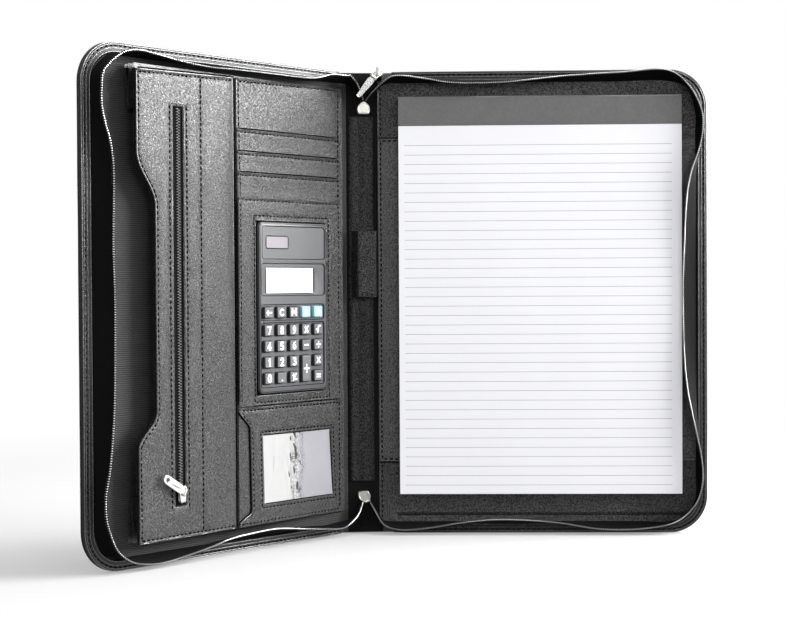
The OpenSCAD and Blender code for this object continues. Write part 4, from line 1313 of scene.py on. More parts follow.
def calc_extra(s, z):
    ds = np.maximum(np.maximum(CS0 - s, s - CS1), np.maximum(CZ0 - z, z - CZ1))
    lip = rnd(np.clip(ds, 0, None) + 0.02, 1.1)
    h = -1.2 * (1 - lip)
    for q in (19.6, 98.0):
        h = h + groove(s - q, 0.42, 0.65) * ((z > 103) & (z < 236.5))
    for q in (104.2, 235.6):
        h = h + groove(z - q, 0.42, 0.65) * ((s > 19) & (s < 98.5))
    return h


column("calculator_panel_leather", 102.4, 248.5, 3.1, 95, extra=calc_extra, top_round=0.7, step=3.4, back=1.3, rep=["calculator_panel"],
       marks_s=((CS0, ENG[:6]), (CS1, EF[:6]), (19.6, STI), (98.0, STI)), marks_z=((CZ0, ENG[:6]), (CZ1, EF[:6]), (104.2, STI), (235.6, STI)),
       keep=lambda s, z: ~((s > CS0) & (s < CS1) & (z > CZ0) & (z < CZ1)))

# card pocket: notch on the outer side, window with a sewn frame
NOTCH = [(17.0, 113.6), (21.0, 113.6), (22.6, 112.6), (26.6, 102.3), (28.2, 101.5), (60, 102.2), (86.6, 102.8), (88.4, 103.6), (96.6, 112.4), (98.2, 113.6), (110, 113.6)]
_nz = np.array([q[0] for q in NOTCH]); _ns = np.array([q[1] for q in NOTCH])


def notch_edge(z):
    return np.interp(z, _nz, _ns)


WIN = dict(bl=(88.9, 31.8), br=(14.8, 31.2), tr=(18.2, 80.7), tl=(90.3, 81.1))
W0, W1, WZ0, WZ1 = 16.5, 89.6, 31.5, 80.9


def warp_id(s, z):
    # window corners are not quite square
    u = np.clip((s - W0) / (W1 - W0), 0, 1); v = np.clip((z - WZ0) / (WZ1 - WZ0), 0, 1)
    cs = (1 - u) * (1 - v) * (WIN["br"][0] - W0) + u * (1 - v) * (WIN["bl"][0] - W1) + (1 - u) * v * (WIN["tr"][0] - W0) + u * v * (WIN["tl"][0] - W1)
    cz = (1 - u) * (1 - v) * (WIN["br"][1] - WZ0) + u * (1 - v) * (WIN["bl"][1] - WZ0) + (1 - u) * v * (WIN["tr"][1] - WZ1) + u * v * (WIN["tl"][1] - WZ1)
    fade = np.clip(1 - np.maximum(np.maximum(W0 - s, s - W1) / 8, np.maximum(WZ0 - z, z - WZ1) / 8), 0, 1)
    s1 = s + cs * fade; z1 = z + cz * fade
    ed = notch_edge(z1); e = C1 - s1
    s2 = np.where(e < 3, ed - e, np.where(s1 > 96, 96 + (s1 - 96) * (ed - 3 - 96) / (C1 - 3 - 96), s1))
    return s2, z1


def id_extra(s, z):
    ds = np.maximum(np.maximum(W0 - s, s - W1), np.maximum(WZ0 - z, z - WZ1))
    lip = rnd(np.clip(ds, 0, None) + 0.02, 0.7)
    h = -0.7 * (1 - lip)
    rim = np.exp(-((ds - 2.2) / 0.6) ** 2) * -0.42 + 0.25 * np.exp(-((ds - 0.9) / 0.6) ** 2)
    return h + rim


Sx = ((W0, ENG[:6]), (W1, EF[:6]), (W0 - 2.2, STI), (W1 + 2.2, STI))
column("id_pocket_leather", 17.8, 101.6, 2.75, 99, extra=id_extra, top_round=0.7, step=2.6, back=2.0, rep=["id_pocket"], bottom_round=True, warp=warp_id,
       marks_s=Sx, marks_z=((WZ0, ENG[:6]), (WZ1, EF[:6]), (WZ0 - 2.2, STI), (WZ1 + 2.2, STI)),
       keep=lambda s, z: ~((s > W0) & (s < W1) & (z > WZ0) & (z < WZ1)))
# lining visible through the notch
S = lines(96, 113.2, 3); Z = lines(19, 100, 5)
V, F = sheet_grid(S, Z, lambda s, z: 1.75 + soft(s, z, 0.08, 20, 7), 1.3)
make("id_pocket_back", left_local(V), F, LEATHER_ORG, "document_pocket", fr_pocket, slot="leather_trim", angle=60)

nz_ = np.array([22.6, 26.6, 28.2, 60, 86.6, 88.4, 96.6])
paths = [[(111.2, 249.5), (111.2, 293)], [(111.2, 296.8), (111.2, 328)],
         [(s, ztop(s) - 2.4) for s in np.linspace(110.5, 8, 16)]]
V0, F0 = stitch_points(paths[1:], pitch=3.7, length=2.6, rad=0.44, hfun=1.32)
sets = [(V0, F0)]
for i, zt_ in enumerate(slot_tops[:3]):
    hb = 1.5 + 0.42 * (i + 1) + 0.3
    sets.append(stitch_points([[(110.6, zt_ - 2.2), (8.6, zt_ - 2.2)]], pitch=3.7, length=2.6, rad=0.32, hfun=hb - 0.12))
    sets.append(stitch_points([[(111.2, slot_tops[i + 1] + 0.8), (111.2, zt_ - 3.0)]], pitch=3.7, length=2.6, rad=0.32, hfun=hb - 0.35))
sets.append(stitch_points([[(110.6, 246.3), (8.6, 246.3)], [(111.2, 104.5), (111.2, 244.5)], [(98.0, 104.2), (98.0, 235.6)], [(19.6, 104.2), (19.6, 235.6)],
                           [(20.2, 104.2), (97.4, 104.2)], [(20.2, 235.6), (97.4, 235.6)]], pitch=3.6, length=2.5, rad=0.34, hfun=2.9))


def wq(u, v, off):
    s = W0 - off + (W1 - W0 + 2 * off) * u; z = WZ0 - off + (WZ1 - WZ0 + 2 * off) * v
    a, b2 = warp_id(np.array([s]), np.array([z]))
    return float(a[0]), float(b2[0])


q4 = [wq(0, 0, 2.2), wq(1, 0, 2.2), wq(1, 1, 2.2), wq(0, 1, 2.2)]
frame_paths = [[q4[0], q4[1]], [q4[1], q4[2]], [q4[2], q4[3]], [q4[3], q4[0]]]
ne = [(notch_edge(z) - 2.0, z) for z in np.linspace(24, 96, 30)]
sets.append(stitch_points(frame_paths + [[(110.6, 99.3), (8.6, 99.3)], [(112.0, 20.2), (8.6, 20.2)], ne], pitch=3.6, length=2.5, rad=0.44, hfun=2.6))
sets.append(stitch_points([[(8.7, 21.5), (8.7, 100.0)], [(8.7, 105.0), (8.7, 246.0)], [(8.7, 251.0), (8.7, 328.0)]], pitch=3.7, length=2.6, rad=0.4, hfun=3.0))
bead = []
for i, zt_ in enumerate(slot_tops[:3]):
    bead.append(([[(9.0, zt_ - 0.75), (112.6, zt_ - 0.75)]], 0.36, 1.5 + 0.42 * (i + 1) + 0.3))
bead.append(([[(9.0, 247.7), (112.6, 247.7)], [(112.9, 104.0), (112.9, 247.0)]], 0.38, 2.95))
bead.append(([[(CS0 - 0.9, CZ0 - 0.9), (CS0 - 0.9, CZ1 + 0.9)], [(CS1 + 0.9, CZ0 - 0.9), (CS1 + 0.9, CZ1 + 0.9)],
              [(CS0 - 0.5, CZ0 - 0.9), (CS1 + 0.5, CZ0 - 0.9)], [(CS0 - 0.5, CZ1 + 0.9), (CS1 + 0.5, CZ1 + 0.9)]], 0.36, 2.95))
g4 = [wq(0, 0, 0.9), wq(1, 0, 0.9), wq(1, 1, 0.9), wq(0, 1, 0.9)]
bead.append(([[g4[0], g4[1]], [g4[1], g4[2]], [g4[2], g4[3]], [g4[3], g4[0]]], 0.34, 2.62))
bead.append(([[(s, ztop(s) - 0.8) for s in np.linspace(112.5, 8, 24)], [(112.9, 250.0), (112.9, 331.0)]], 0.38, 1.3))
bead.append(([[(9.0, 100.8), (98.0, 100.8)], [(notch_edge(z) - 0.7, z) for z in np.linspace(22, 98, 34)]], 0.36, 2.8))
bead_v = np.zeros((0, 3)); bead_f = []
for pt_, r_, h_ in bead:
    v, f = tube_points(pt_, rad=r_, hfun=h_, step=2.4)
    bead_f += [tuple(i + len(bead_v) for i in q) for q in f]; bead_v = np.vstack([bead_v, v])
make("organiser_edge_folds", left_local(bead_v), bead_f, LEATHER_BEAD_HIGHLIGHT, "document_pocket", fr_pocket, angle=180, slot="leather_trim")
# painted shade: these matte black tubes sit above each card slot's top edge, along the calculator panel's top and side,
# inside the calculator opening, along the ID pocket's top and notch and round the window, over the shadowed gaps at
# these edges
ink = []
for i, zt_ in enumerate(slot_tops[:3]):
    ink.append(([[(8.8, zt_ + 0.32), (112.9, zt_ + 0.32)]], 0.45, 1.5 + 0.42 * (i + 1) - 0.15))
ink.append(([[(8.8, 249.0), (112.9, 249.0)], [(113.9, 104.0), (113.9, 247.5)]], 0.55, 2.2))
ink.append(([[(CS0 + 0.4, CZ0), (CS0 + 0.4, CZ1)], [(CS1 - 0.4, CZ0), (CS1 - 0.4, CZ1)], [(CS0, CZ0 + 0.4), (CS1, CZ0 + 0.4)], [(CS0, CZ1 - 0.4), (CS1, CZ1 - 0.4)]], 0.5, 2.3))
ink.append(([[(8.8, 102.0), (98.4, 102.0)], [(notch_edge(z) + 0.4, z) for z in np.linspace(20, 99, 34)]], 0.55, 2.25))
i4 = [wq(0, 0, -0.3), wq(1, 0, -0.3), wq(1, 1, -0.3), wq(0, 1, -0.3)]
ink.append(([[i4[0], i4[1]], [i4[1], i4[2]], [i4[2], i4[3]], [i4[3], i4[0]]], 0.36, 1.95))
gap_shade_v = np.zeros((0, 3)); gap_shade_f = []
for pt_, r_, h_ in ink:
    v, f = tube_points(pt_, rad=r_, hfun=h_, step=2.4)
    gap_shade_f += [tuple(i + len(gap_shade_v) for i in q) for q in f]; gap_shade_v = np.vstack([gap_shade_v, v])
make("organiser_gap_shade", left_local(gap_shade_v), gap_shade_f, BLACK_LINES_AND_GAP_SHADE, "document_pocket", fr_pocket, angle=180, slot="leather_trim")
VV = np.zeros((0, 3)); FF = []
for v, f in sets:
    FF += [tuple(i + len(VV) for i in q) for q in f]; VV = np.vstack([VV, v])
make("organiser_stitching", left_local(VV), FF, THREAD, "document_pocket", fr_pocket, angle=180, slot="leather_trim")

# rounded binding down the hinge side of the organiser
Z = lines(17.2, 333.8, 5, marks=((17.2, EF), (333.8, ENG)), fine=())
S = np.array([2.4, 2.5, 2.75, 3.1, 3.6, 4.2, 5.0, 5.8, 6.4, 6.9, 7.25, 7.5, 7.6])
V, F = sheet_grid(S, Z, lambda s, z: (0.05 + (3.55 + soft(s, z, 0.12, 30, 17)) * np.sqrt(np.clip(1 - ((s - 5.0) / 2.62) ** 2, 0, 1))) * rnd(np.minimum(z - 17.2, 333.8 - z) + 0.02, 1.4), -0.1)
make("organiser_binding", left_local(V), F, LEATHER_ORG, "document_pocket", fr_pocket, slot="leather_trim", angle=60)

# ------------------------------------------------------------------ vinyl window
S = lines(W0 - 2.5, W1 + 2.5, 0.9); Z = lines(WZ0 - 2.5, WZ1 + 2.5, 0.9)


def vinyl_h(s, z):
    u = (s - 52) / 37
    c = np.exp(-((s - 55 + 2.5 * np.sin(z / 11)) / 7.5) ** 2)
    rp = np.random.default_rng(77)
    h = 0.05 * np.sin(s / 3.1 + 1.4 * np.sin(z / 13.0)) + 0.35 * np.exp(-((s - 78 - 2 * np.sin(z / 16)) / 2.4) ** 2) * (z > 50) * np.clip((z - 50) / 8, 0, 1)
    w = 0
    for i in range(9):
        a = rp.uniform(-0.5, 0.5); L = rp.uniform(4.0, 9.0); ph = rp.uniform(0, 6.28)
        w = w + np.sin((s * math.cos(a) + z * math.sin(a)) * 2 * math.pi / L + ph + 0.9 * np.sin(z / rp.uniform(5, 9)))
    h = h + c * w * 0.11
    tilt = -0.35 * smooth01((s - 40) / 30) + 0.012 * (s - 52) * (s > 58)
    return 1.75 + h + tilt * 0.4


def warp_vin(s, z):
    a, b2 = warp_id(s, z)
    return a, b2


V, F = sheet_grid(S, Z, vinyl_h, lambda s, z: vinyl_h(s, z) - 0.25, warp=warp_vin)
_v = Mat("clear_vinyl")
_p0 = fr_pocket(left_local(np.array([[0.0, 0, 0]])))[0]; _p1 = fr_pocket(left_local(np.array([[1000.0, 0, 0]])))[0]
_ev = _p1 - _p0
_dt = _v.n("ShaderNodeVectorMath", operation="DOT_PRODUCT"); _v.l(_v.obj, _dt.inputs[0]); _dt.inputs[1].default_value = tuple(_ev)
_s = _v.math("SUBTRACT", _dt.outputs["Value"], float(np.dot(_p0, _ev)))          # metres along the pocket
_zz = _v.xyz()[2]
_wob = _v.math("MULTIPLY", _v.math("SUBTRACT", _v.noise(60, 2), 0.5), 0.012)
_sw = _v.math("ADD", _s, _wob)
# painted shade: inside this band, about 46 to 63 mm along the pocket where the film crinkles, dark cell lines, stronger
# low down; dark streaks there and along the fold near 78 mm
_band = _v.math("MULTIPLY", _v.remap(_sw, 0.0455, 0.0495, 0, 1), _v.remap(_sw, 0.0585, 0.0635, 1, 0))
_mp = _v.n("ShaderNodeMapping"); _v.l(_v.obj, _mp.inputs["Vector"]); _mp.inputs["Scale"].default_value = (1, 1, 0.62)
_cells = _v.voronoi(620, vec=_mp.outputs[0])
_line = _v.remap(_cells, 0.03, 0.16, 1, 0)
_low = _v.remap(_zz, 0.060, 0.072, 1, 0.7)
_big = _v.remap(_v.noise(150, 2), 0.42, 0.62, 0, 1)
_crinkle_shade = _v.math("MULTIPLY", _v.math("MULTIPLY", _band, _low), _v.math("MULTIPLY", _line, _v.math("ADD", _v.math("MULTIPLY", _big, 0.6), 0.4)))
_st = _v.n("ShaderNodeMapping"); _v.l(_v.obj, _st.inputs["Vector"]); _st.inputs["Scale"].default_value = (1, 1, 0.12)
_sn = _v.noise(300, 3, vec=_st.outputs[0])
_fold_shade = _v.math("MULTIPLY", _v.remap(_sn, 0.60, 0.66, 0, 0.6), _v.math("ADD", _v.math("MULTIPLY", _band, 0.9), _v.math("MULTIPLY", _v.remap(_s, 0.074, 0.080, 0, 1), _v.remap(_zz, 0.05, 0.062, 0, 0.8))))
# the base stands for the card behind the film; its outer side, past about 52 mm, is made lighter: a painted reflection
_sheen_side = _v.remap(_sw, 0.050, 0.054, 0, 1)
_base = _v.mix(_sheen_side, _v.mix(_v.noise(45, 3), (0.255, 0.255, 0.272), (0.305, 0.30, 0.322)), _v.mix(_v.noise(70, 3), (0.37, 0.37, 0.37), (0.43, 0.43, 0.425)))
_c1 = _v.mix(_v.math("MULTIPLY", _crinkle_shade, 0.93), _base, (0.05, 0.05, 0.055))
_v.color(_v.mix(_fold_shade, _c1, (0.12, 0.12, 0.125)))
_v.normal(_v.bump(_v.math("ADD", _v.math("MULTIPLY", _v.math("MULTIPLY", _cells, 1.0), _band), _v.math("MULTIPLY", _sn, 0.25)), 0.5, 0.0006))
_v.set(rough=0.12, spec=0.35)
VINYL = _v.m
make("id_window_vinyl", left_local(V), F, VINYL, "document_pocket", fr_pocket, rep=["id_window"], slot="clear_vinyl", angle=180)

# ------------------------------------------------------------------ gussets: pleated leather between the lining and the pocket
SEG = [9, 32, 58, 86, 118, 150, 178, 203.2]


def gap(s):
    return (s - ORG) * math.tan(math.radians(F3)) + 0.6


def gusset(name, zb_, zt_, up):
    """Accordion folds between the lining and the pocket's back, in short lengths along the pocket."""
    for q in range(len(SEG) - 1):
        s0, s1 = SEG[q], SEG[q + 1]
        ss = np.linspace(s0, s1, 6)
        V = []; nprof = 0
        for s in ss:
            gp = gap(s)
            depth = (zt_ - zb_) * (0.55 + 0.45 * s / 203)
            if s > 200:
                depth *= 1.0
            K = 5
            prof = []
            for k in range(K + 1):
                y = 0.45 - gp * k / K * 0.985
                z = (zt_ if k % 2 == 0 else zt_ - depth) if up else (zb_ if k % 2 == 0 else zb_ + depth)
                prof.append((y, z))
            # round the folds
            pts = []
            for k in range(K):
                (y0, z0), (y1, z1) = prof[k], prof[k + 1]
                for t in (0.0, 0.03, 0.1, 0.3, 0.5, 0.7, 0.9, 0.97):
                    tt = t
                    yy = y0 + (y1 - y0) * (smooth01(tt) * 0.4 + tt * 0.6)
                    z = z0 + (z1 - z0) * t
                    pts.append((yy + 0.12 * math.sin(s / 9.0 + k * 2) * math.sin(math.pi * t) ** 2, z))
            pts.append(prof[-1])
            nprof = len(pts)
            for (y, z) in pts:
                V.append((-s, y, z))
        F = []
        n, m = len(ss), nprof
        F = grid_faces(n, m)
        V, F = solidify(V, F, (0, 0, -0.45 if up else 0.45))
        o = make("%s_%d" % (name, q + 1), V, F, GUSSET, None, fr_left, angle=50, slot="leather_trim", rep=["pocket_bellows"])
        sm = (s0 + s1) / 2 if q < len(SEG) - 2 else s1 - 4
        z_ = zt_
        tuple(fr_left([[-sm, 0.45, z_]])[0])
        tuple(fr_left([[-sm, 0.45 - gap(sm) * 0.97, z_]])[0])
        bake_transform(o)


gusset("gusset_top", 303.0, 332.2, True)
gusset("gusset_bottom", 17.8, 47.0, False)


# ------------------------------------------------------------------ loops, lofts and plates for moulded parts
def rr_loop(x0, x1, z0, z1, r, n=5):
    P = []
    for cx, cz, a0 in ((x1 - r, z1 - r, 0), (x0 + r, z1 - r, 90), (x0 + r, z0 + r, 180), (x1 - r, z0 + r, 270)):
        for k in range(n + 1):
            a = math.radians(a0 + 90 * k / n)
            P.append((cx + r * math.cos(a), cz + r * math.sin(a)))
    return np.array(P)


class Solid:
    """Collects lofts and plates given in (s, height, z)."""
    def __init__(self):
        self.V = []; self.F = []; self.M = []

    def loft(self, rings, mat=0, close0=False, close1=False):
        b0 = len(self.V); n = len(rings[0][0])
        for P, h in rings:
            hh = h if hasattr(h, "__len__") else [h] * n
            self.V += [(p[0], float(q), p[1]) for p, q in zip(P, hh)]
        for i in range(len(rings) - 1):
            for k in range(n):
                a = b0 + i * n + k; b = b0 + i * n + (k + 1) % n
                self.F.append((a, b, b + n, a + n)); self.M.append(mat)
        if close0:
            self.F.append(tuple(b0 + k for k in range(n))[::-1]); self.M.append(mat)
        if close1:
            self.F.append(tuple(b0 + (len(rings) - 1) * n + k for k in range(n))); self.M.append(mat)

    def plate(self, h, outer, holes=(), mat=0):
        loops = [[Vector((p[0], p[1], 0)) for p in L] for L in [outer] + list(holes)]
        tris = tessellate_polygon(loops)
        b0 = len(self.V)
        for L in [outer] + list(holes):
            self.V += [(p[0], float(h), p[1]) for p in L]
        for t in tris:
            self.F.append(tuple(b0 + i for i in t)); self.M.append(mat)

    def obj(self, name, body, frame_fn, mats, conv=None, **kw):
        V = (conv or left_local)(np.array(self.V))
        return make(name, V, self.F, mats[0], body, frame_fn, mats=mats, fmat=self.M, merge=0.004, **kw)


def inset_loop(P, d):
    """A loop moved inwards by d (outwards when negative)."""
    P = np.array(P); n = len(P)
    a = P - np.roll(P, 1, 0); b = np.roll(P, -1, 0) - P
    a = a / np.maximum(np.linalg.norm(a, axis=1)[:, None], 1e-9); b = b / np.maximum(np.linalg.norm(b, axis=1)[:, None], 1e-9)
    area = 0.5 * np.sum(P[:, 0] * np.roll(P[:, 1], -1) - np.roll(P[:, 0], -1) * P[:, 1])
    sg = 1 if area > 0 else -1
    na = np.stack([-a[:, 1], a[:, 0]], 1) * sg; nb = np.stack([-b[:, 1], b[:, 0]], 1) * sg
    m = na + nb; m = m / np.maximum(np.linalg.norm(m, axis=1)[:, None], 1e-9)
    c = np.clip(np.sum(m * na, 1), 0.4, 1)
    return P + m * (d / c)[:, None]


# ------------------------------------------------------------------ calculator
CA0, CA1, CB0, CB1 = 24.5, 95.5, 110.3, 231.3
KEY_S = [87.7, 74.8, 61.9, 49.0, 36.1]
KEY_Z = [167.4, 154.8, 143.5, 132.2, 120.9]
KW, KH = 9.4, 8.2
body = Solid()
out = rr_loop(CA0, CA1, CB0, CB1, 4, 8)
rings = [(out, 1.25), (out, 4.6), (inset_loop(out, 0.12), 5.15), (inset_loop(out, 0.42), 5.45), (inset_loop(out, 0.9), 5.58)]
body.loft(rings)
top = inset_loop(out, 0.9)
inn = inset_loop(out, 1.3)
body.loft([(inn, 4.15), (inn, 1.25), (out, 1.25)])
# sunk fields: solar panel, display, first key row, the other rows
solar_f = rr_loop(26.9, 92.6, 205.4, 228.6, 2.2, 6)
lcd_f = rr_loop(26.9, 93.8, 179.4, 202.2, 2.6, 6)
row1_f = rr_loop(27.9, 94.2, 161.9, 173.0, 1.6, 6)
rows_f = rr_loop(27.9, 94.2, 114.6, 160.0, 1.6, 6)
body.plate(5.58, top, [solar_f, lcd_f, row1_f, rows_f])


def sunk(f, depth, holes=(), mat=1, cham=0.35):
    body.loft([(f, 5.58), (inset_loop(f, 0.1), 5.5), (inset_loop(f, cham * 0.8), 5.58 - depth + 0.12), (inset_loop(f, cham), 5.58 - depth)], mat=0)
    body.plate(5.58 - depth, inset_loop(f, cham), holes, mat=mat)


def hole(f, h0, h1):
    body.loft([(f, h0), (f, h1)], mat=1)


cell = rr_loop(65.8, 87.8, 213.2, 221.2, 0.9, 4)
sunk(solar_f, 0.55, [inset_loop(cell, -0.5)])
body.loft([(inset_loop(cell, -0.5), 5.03), (inset_loop(cell, -0.2), 5.3), (cell, 5.2), (cell, 4.15)], mat=0)
disp = rr_loop(39.2, 88.4, 181.0, 199.2, 0.8, 4)
sunk(lcd_f, 0.75, [inset_loop(disp, -0.3)])
# the display well's walls take the darker key-side copy: painted shade
body.loft([(inset_loop(disp, -0.3), 4.83), (disp, 4.7), (disp, 4.15)], mat=2)
kh = {}
NAMES = [("off", 0, 0), ("clear", 1, 0), ("memory", 2, 0), ("mode", 3, 0), ("on", 4, 0), ("7", 0, 1), ("8", 1, 1), ("9", 2, 1), ("percent", 3, 1), ("root", 4, 1),
         ("4", 0, 2), ("5", 1, 2), ("6", 2, 2), ("minus", 3, 2), ("divide", 4, 2), ("1", 0, 3), ("2", 1, 3), ("3", 2, 3), ("plus", 3, 3), ("multiply", 4, 3),
         ("0", 0, 4), ("point", 1, 4), ("sign", 2, 4), ("equals", 4, 4)]
for nm, i, j in NAMES:
    tall = nm == "plus"
    z = KEY_Z[j] - ((KEY_Z[j] - KEY_Z[j + 1]) / 2 if tall else 0)
    h = KH + (KEY_Z[j] - KEY_Z[j + 1] if tall else 0)
    kh[nm] = (KEY_S[i], z, KW, h)
hl1 = [rr_loop(s - w / 2 - 0.3, s + w / 2 + 0.3, z - h / 2 - 0.3, z + h / 2 + 0.3, 1.3, 4) for nm, (s, z, w, h) in kh.items() if z > 162]
hl2 = [rr_loop(s - w / 2 - 0.3, s + w / 2 + 0.3, z - h / 2 - 0.3, z + h / 2 + 0.3, 1.3, 4) for nm, (s, z, w, h) in kh.items() if z < 162]
sunk(row1_f, 0.8, hl1)
sunk(rows_f, 0.8, hl2)
for f in hl1 + hl2:
    hole(f, 4.78, 4.15)
body.plate(4.15, inn, [cell, disp] + hl1 + hl2, mat=1)
body.obj("calculator_shell", "document_pocket", fr_pocket, [CALC, CALC_IN, KEY_SIDE_SHADE], rep=["calculator_case"], slot="calculator_body", angle=30)
# black lines moulded round the body and the sunk fields; the thick bar down the display's right side and the ring round
# the display are painted shadow of its recess
def ring_path(loop, h):
    P = np.array(loop); P = np.vstack([P, P[:2]])
    return [(a, b2, h) for a, b2 in P]


ln = [(ring_path(inset_loop(f, -0.12), 5.56), 0.2) for f in (solar_f, lcd_f, row1_f, rows_f)]
ln += [(ring_path(inset_loop(out, 1.05), 5.56), 0.16), (ring_path(inset_loop(out, -0.35), 3.0), 0.5)]
ln += [([(38.6, 181.2, 4.9), (38.6, 199.0, 4.9)], 0.75), (ring_path(inset_loop(disp, -0.2), 4.85), 0.28), (ring_path(inset_loop(cell, -0.55), 5.06), 0.22)]
lv = np.zeros((0, 3)); lf = []
for path_, r_ in ln:
    v, f = tube_points([path_], rad=r_, step=1.6, ns=7)
    lf += [tuple(i + len(lv) for i in q) for q in f]; lv = np.vstack([lv, v])
make("calculator_seams_and_display_shadow", left_local(lv), lf, BLACK_LINES_AND_GAP_SHADE, "document_pocket", fr_pocket, angle=180, slot="calculator_body")
# separator bead between display and solar fields
sep = Solid()
for z in (203.8, 160.95):
    P = rr_loop(28.5, 92.0, z - 0.45, z + 0.45, 0.4, 4)
    sep.loft([(P, 5.5), (P, 5.75), (inset_loop(P, 0.15), 5.9)], close0=True, close1=True)
sep.obj("calculator_ridges", "document_pocket", fr_pocket, [CALC], slot="calculator_body", angle=40)

for node, mat in (("calculator_display", LCD), ("solar_cell", SOLAR_TINT_AND_SHEEN), ("calculator_back", CALC), ("calculator_pcb", PCB), ("keypad_membrane", MEMBRANE),
                  ("right_cover_board", BOARD), ("left_cover_board", BOARD), ("notepad_backing", CARD)):
    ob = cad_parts[node]
    ob.data.materials.clear()
    ob.data.materials.append(mat)

# strokes of each legend, in a 0..1 box, u to the right and v up
GL = {
    "0": [[(0.2, 0.5), (0.25, 0.85), (0.5, 1), (0.75, 0.85), (0.8, 0.5), (0.75, 0.15), (0.5, 0), (0.25, 0.15), (0.2, 0.5)]],
    "1": [[(0.35, 0.8), (0.52, 1), (0.52, 0)]],
    "2": [[(0.22, 0.8), (0.35, 0.97), (0.6, 1), (0.78, 0.8), (0.7, 0.55), (0.22, 0), (0.8, 0)]],
    "3": [[(0.22, 0.9), (0.5, 1), (0.76, 0.85), (0.7, 0.6), (0.45, 0.53)], [(0.45, 0.53), (0.75, 0.42), (0.78, 0.18), (0.5, 0), (0.22, 0.1)]],
    "4": [[(0.65, 0), (0.65, 1), (0.15, 0.3), (0.85, 0.3)]],
    "5": [[(0.78, 1), (0.28, 1), (0.24, 0.58), (0.55, 0.62), (0.78, 0.45), (0.76, 0.15), (0.5, 0), (0.22, 0.08)]],
    "6": [[(0.72, 0.95), (0.45, 0.9), (0.25, 0.6), (0.22, 0.25), (0.5, 0), (0.78, 0.2), (0.74, 0.48), (0.5, 0.58), (0.25, 0.42)]],
    "7": [[(0.2, 1), (0.8, 1), (0.45, 0)]],
    "8": [[(0.5, 0.54), (0.27, 0.7), (0.32, 0.95), (0.5, 1), (0.68, 0.95), (0.73, 0.7), (0.5, 0.54), (0.22, 0.32), (0.27, 0.06), (0.5, 0), (0.73, 0.06), (0.78, 0.32), (0.5, 0.54)]],
    "9": [[(0.28, 0.05), (0.55, 0.1), (0.75, 0.4), (0.78, 0.75), (0.5, 1), (0.22, 0.8), (0.26, 0.52), (0.5, 0.42), (0.75, 0.58)]],
    "point": [[(0.46, 0.12), (0.54, 0.12)]],
    "percent": [[(0.12, 0.05), (0.88, 0.95)], [(0.15, 0.8), (0.3, 0.95), (0.4, 0.8), (0.28, 0.65), (0.15, 0.8)], [(0.6, 0.2), (0.72, 0.35), (0.85, 0.2), (0.72, 0.05), (0.6, 0.2)]],
    "root": [[(0.05, 0.45), (0.2, 0.5), (0.35, 0.05), (0.55, 0.95), (0.98, 0.95)]],
    "minus": [[(0.12, 0.5), (0.88, 0.5)]],
    "plus": [[(0.0, 0.5), (1, 0.5)], [(0.5, 0.0), (0.5, 1.0)]],
    "divide": [[(0.1, 0.5), (0.9, 0.5)], [(0.48, 0.86), (0.52, 0.86)], [(0.48, 0.14), (0.52, 0.14)]],
    "multiply": [[(0.18, 0.15), (0.82, 0.85)], [(0.18, 0.85), (0.82, 0.15)]],
    "equals": [[(0.12, 0.32), (0.88, 0.32)], [(0.12, 0.68), (0.88, 0.68)]],
    "sign": [[(0.05, 0.72), (0.5, 0.72)], [(0.28, 0.95), (0.28, 0.5)], [(0.2, 0.02), (0.85, 0.98)], [(0.55, 0.22), (0.98, 0.22)]],
    "off": [[(0.08, 0.5), (0.92, 0.5)], [(0.3, 0.78), (0.08, 0.5), (0.3, 0.22)]],
    "clear": [[(0.82, 0.85), (0.5, 1), (0.22, 0.75), (0.22, 0.25), (0.5, 0), (0.82, 0.15)]],
    "memory": [[(0.12, 0), (0.12, 1), (0.5, 0.4), (0.88, 1), (0.88, 0)]],
    "mode": [[(0.12, 0.15), (0.88, 0.15)], [(0.2, 0.45), (0.5, 0.95), (0.8, 0.45), (0.2, 0.45)]],
    "on": [[(0.5, 1), (0.5, 0.5)], [(0.28, 0.85), (0.12, 0.5), (0.3, 0.12), (0.7, 0.12), (0.88, 0.5), (0.72, 0.85)]],
}


def stroke_bar(S_, P, w, h0, h1, mat):
    """A flat ribbon of width w along the polyline P of (s, z)."""
    P = np.array(P, float)
    for i, (a, b) in enumerate(zip(P[:-1], P[1:])):
        e = 0.008 * (i % 8)               # neighbouring strokes never share an edge
        d = b - a; L = np.linalg.norm(d)
        if L < 1e-6:
            continue
        d = d / L; n = np.array([-d[1], d[0]])
        a2 = a - d * w * 0.42; b2 = b + d * w * 0.42
        k = w * 0.2
        ring = [a2 + n * (w / 2 - k), a2 + n * (w / 2 - k) + d * 0 , a2 + d * k + n * w / 2, b2 - d * k + n * w / 2, b2 + n * (w / 2 - k), b2 - n * (w / 2 - k), b2 - d * k - n * w / 2, a2 + d * k - n * w / 2, a2 - n * (w / 2 - k)]
        ring = [ring[0]] + ring[2:]
        S_.loft([(np.array(ring), h0 - e), (np.array(ring), h1 + e)], mat=mat, close0=True, close1=True)


def shrink(Q, k):
    c = Q.mean(0)
    return c + (Q - c) * k


